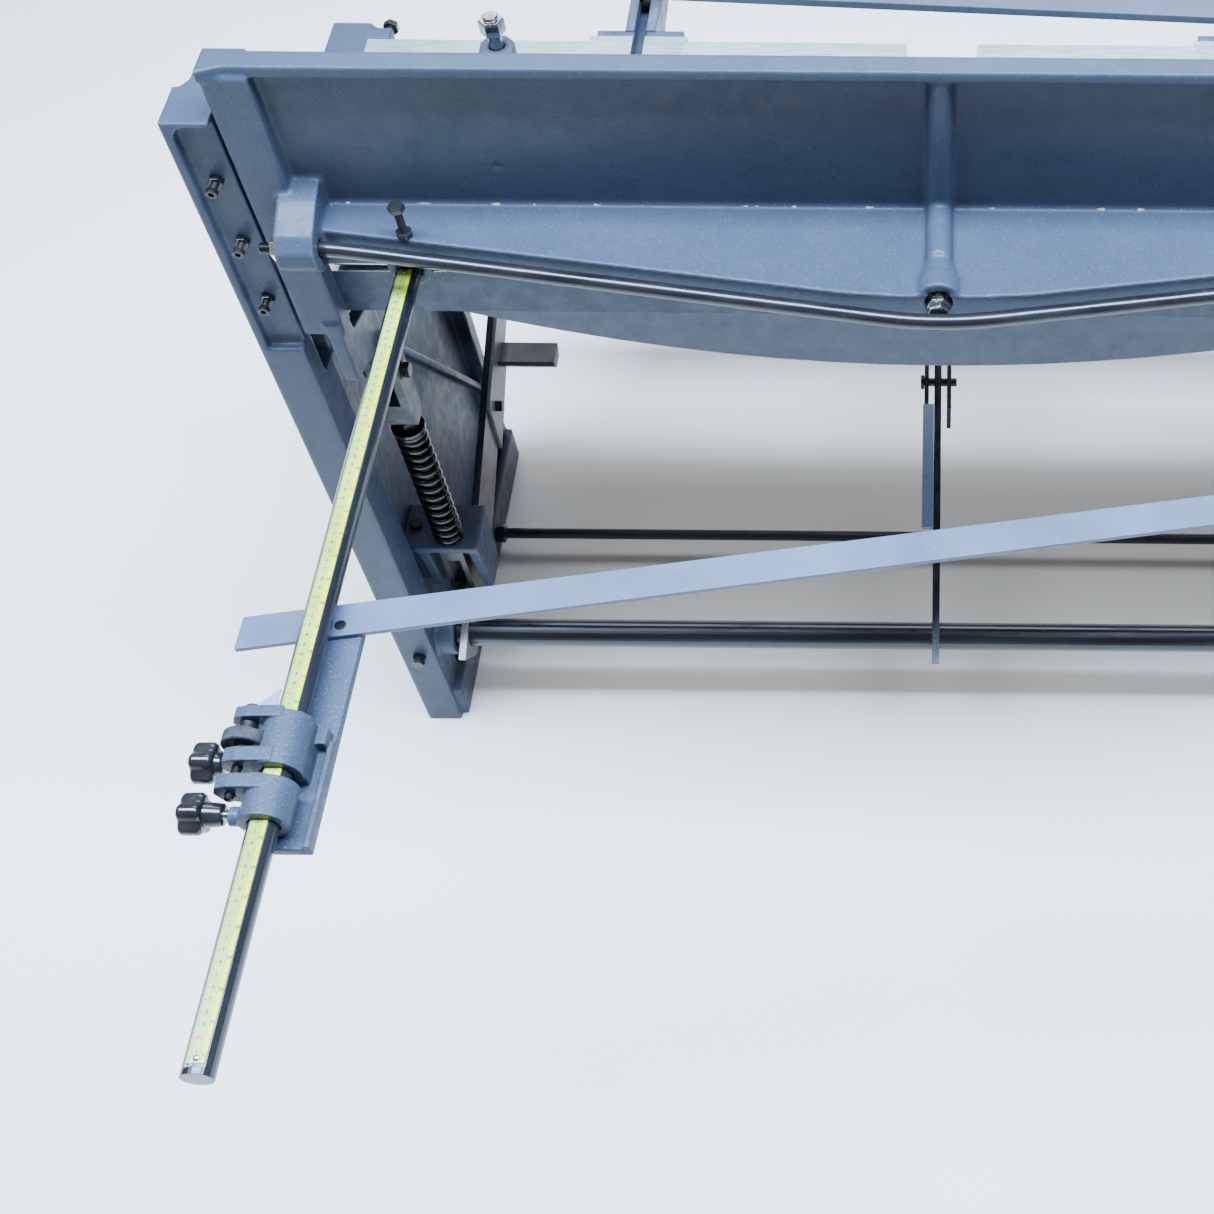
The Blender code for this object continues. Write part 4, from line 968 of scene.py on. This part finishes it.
# ---- surroundings ------------------------------------------------------------------------------
def make_stage():
    """A plain pale floor."""
    bm = bmesh.new()
    bmesh.ops.create_grid(bm, x_segments=1, y_segments=1, size=14.0)
    floor = bpy.data.objects.new("floor", mesh_from(bm))
    bpy.context.scene.collection.objects.link(floor)
    look = Look("pale_floor")
    look.colour(look.mix(look.noise(1.5, 2.0), (0.96, 0.91, 0.84), (0.98, 0.93, 0.87)))
    look.shader.inputs["Roughness"].default_value = 0.9
    floor.data.materials.append(look.material)
    floor.location.z = -0.0005


def light(name, location, aim, size, power, colour):
    """A soft rectangular light at location, turned to aim."""
    lamp = bpy.data.lights.new(name, "AREA")
    lamp.shape = "RECTANGLE"
    lamp.size, lamp.size_y = size
    lamp.energy = power
    lamp.color = colour
    holder = bpy.data.objects.new(name, lamp)
    bpy.context.scene.collection.objects.link(holder)
    holder.location = location
    holder.rotation_euler = (Vector(aim) - Vector(location)).to_track_quat("-Z", "Y").to_euler()


def make_light():
    """A cool light above, a weaker one in front, and an even white surround."""
    world = bpy.data.worlds.new("studio")
    bpy.context.scene.world = world
    world.use_nodes = True
    back = world.node_tree.nodes["Background"]
    back.inputs["Color"].default_value = (1.0, 1.0, 1.0, 1.0)
    back.inputs["Strength"].default_value = 0.30
    light("overhead", (0.1, 0.16, 3.6), (0.1, 0.10, 0.8), (4.4, 1.0), 820, (0.60, 0.79, 1.0))
    light("front_soft", (0.0, -2.6, 3.4), (0, 0.0, 0.8), (3.6, 1.6), 120, (0.80, 0.90, 1.0))


def make_camera():
    """Above and behind the machine, looking down at it."""
    height, behind, pitch, roll = 2.105, 1.2713, 54.96, 0.5
    focal, picture, centre = 1697.0, 1214.0, (936.0, 607.0)
    data = bpy.data.cameras.new("camera")
    camera = bpy.data.objects.new("camera", data)
    bpy.context.scene.collection.objects.link(camera)
    turn = Matrix.Rotation(math.pi, 4, "Z") @ Matrix.Rotation(math.radians(90 - pitch), 4, "X")
    turn = turn @ Matrix.Rotation(math.radians(roll), 4, "Z")
    camera.matrix_world = Matrix.Translation((0, REAR_Y + behind, height)) @ turn
    data.sensor_width = 36.0
    data.lens = focal * data.sensor_width / picture
    data.shift_x = (picture / 2 - centre[0]) / picture
    data.shift_y = (centre[1] - picture / 2) / picture
    bpy.context.scene.camera = camera


make_camera()
make_stage()
make_light()
make_castings()
make_bed()
make_back_gauge()
dress_kept_nodes()
make_knobs()
make_fine_screws()
make_truss()
make_filler()
make_tape_marks()
make_springs()
make_gib_screws()
make_shaft_bolts()
make_crosshead_bolts()
make_hold_down_studs()
make_frame_bolts()
make_bar_screws()
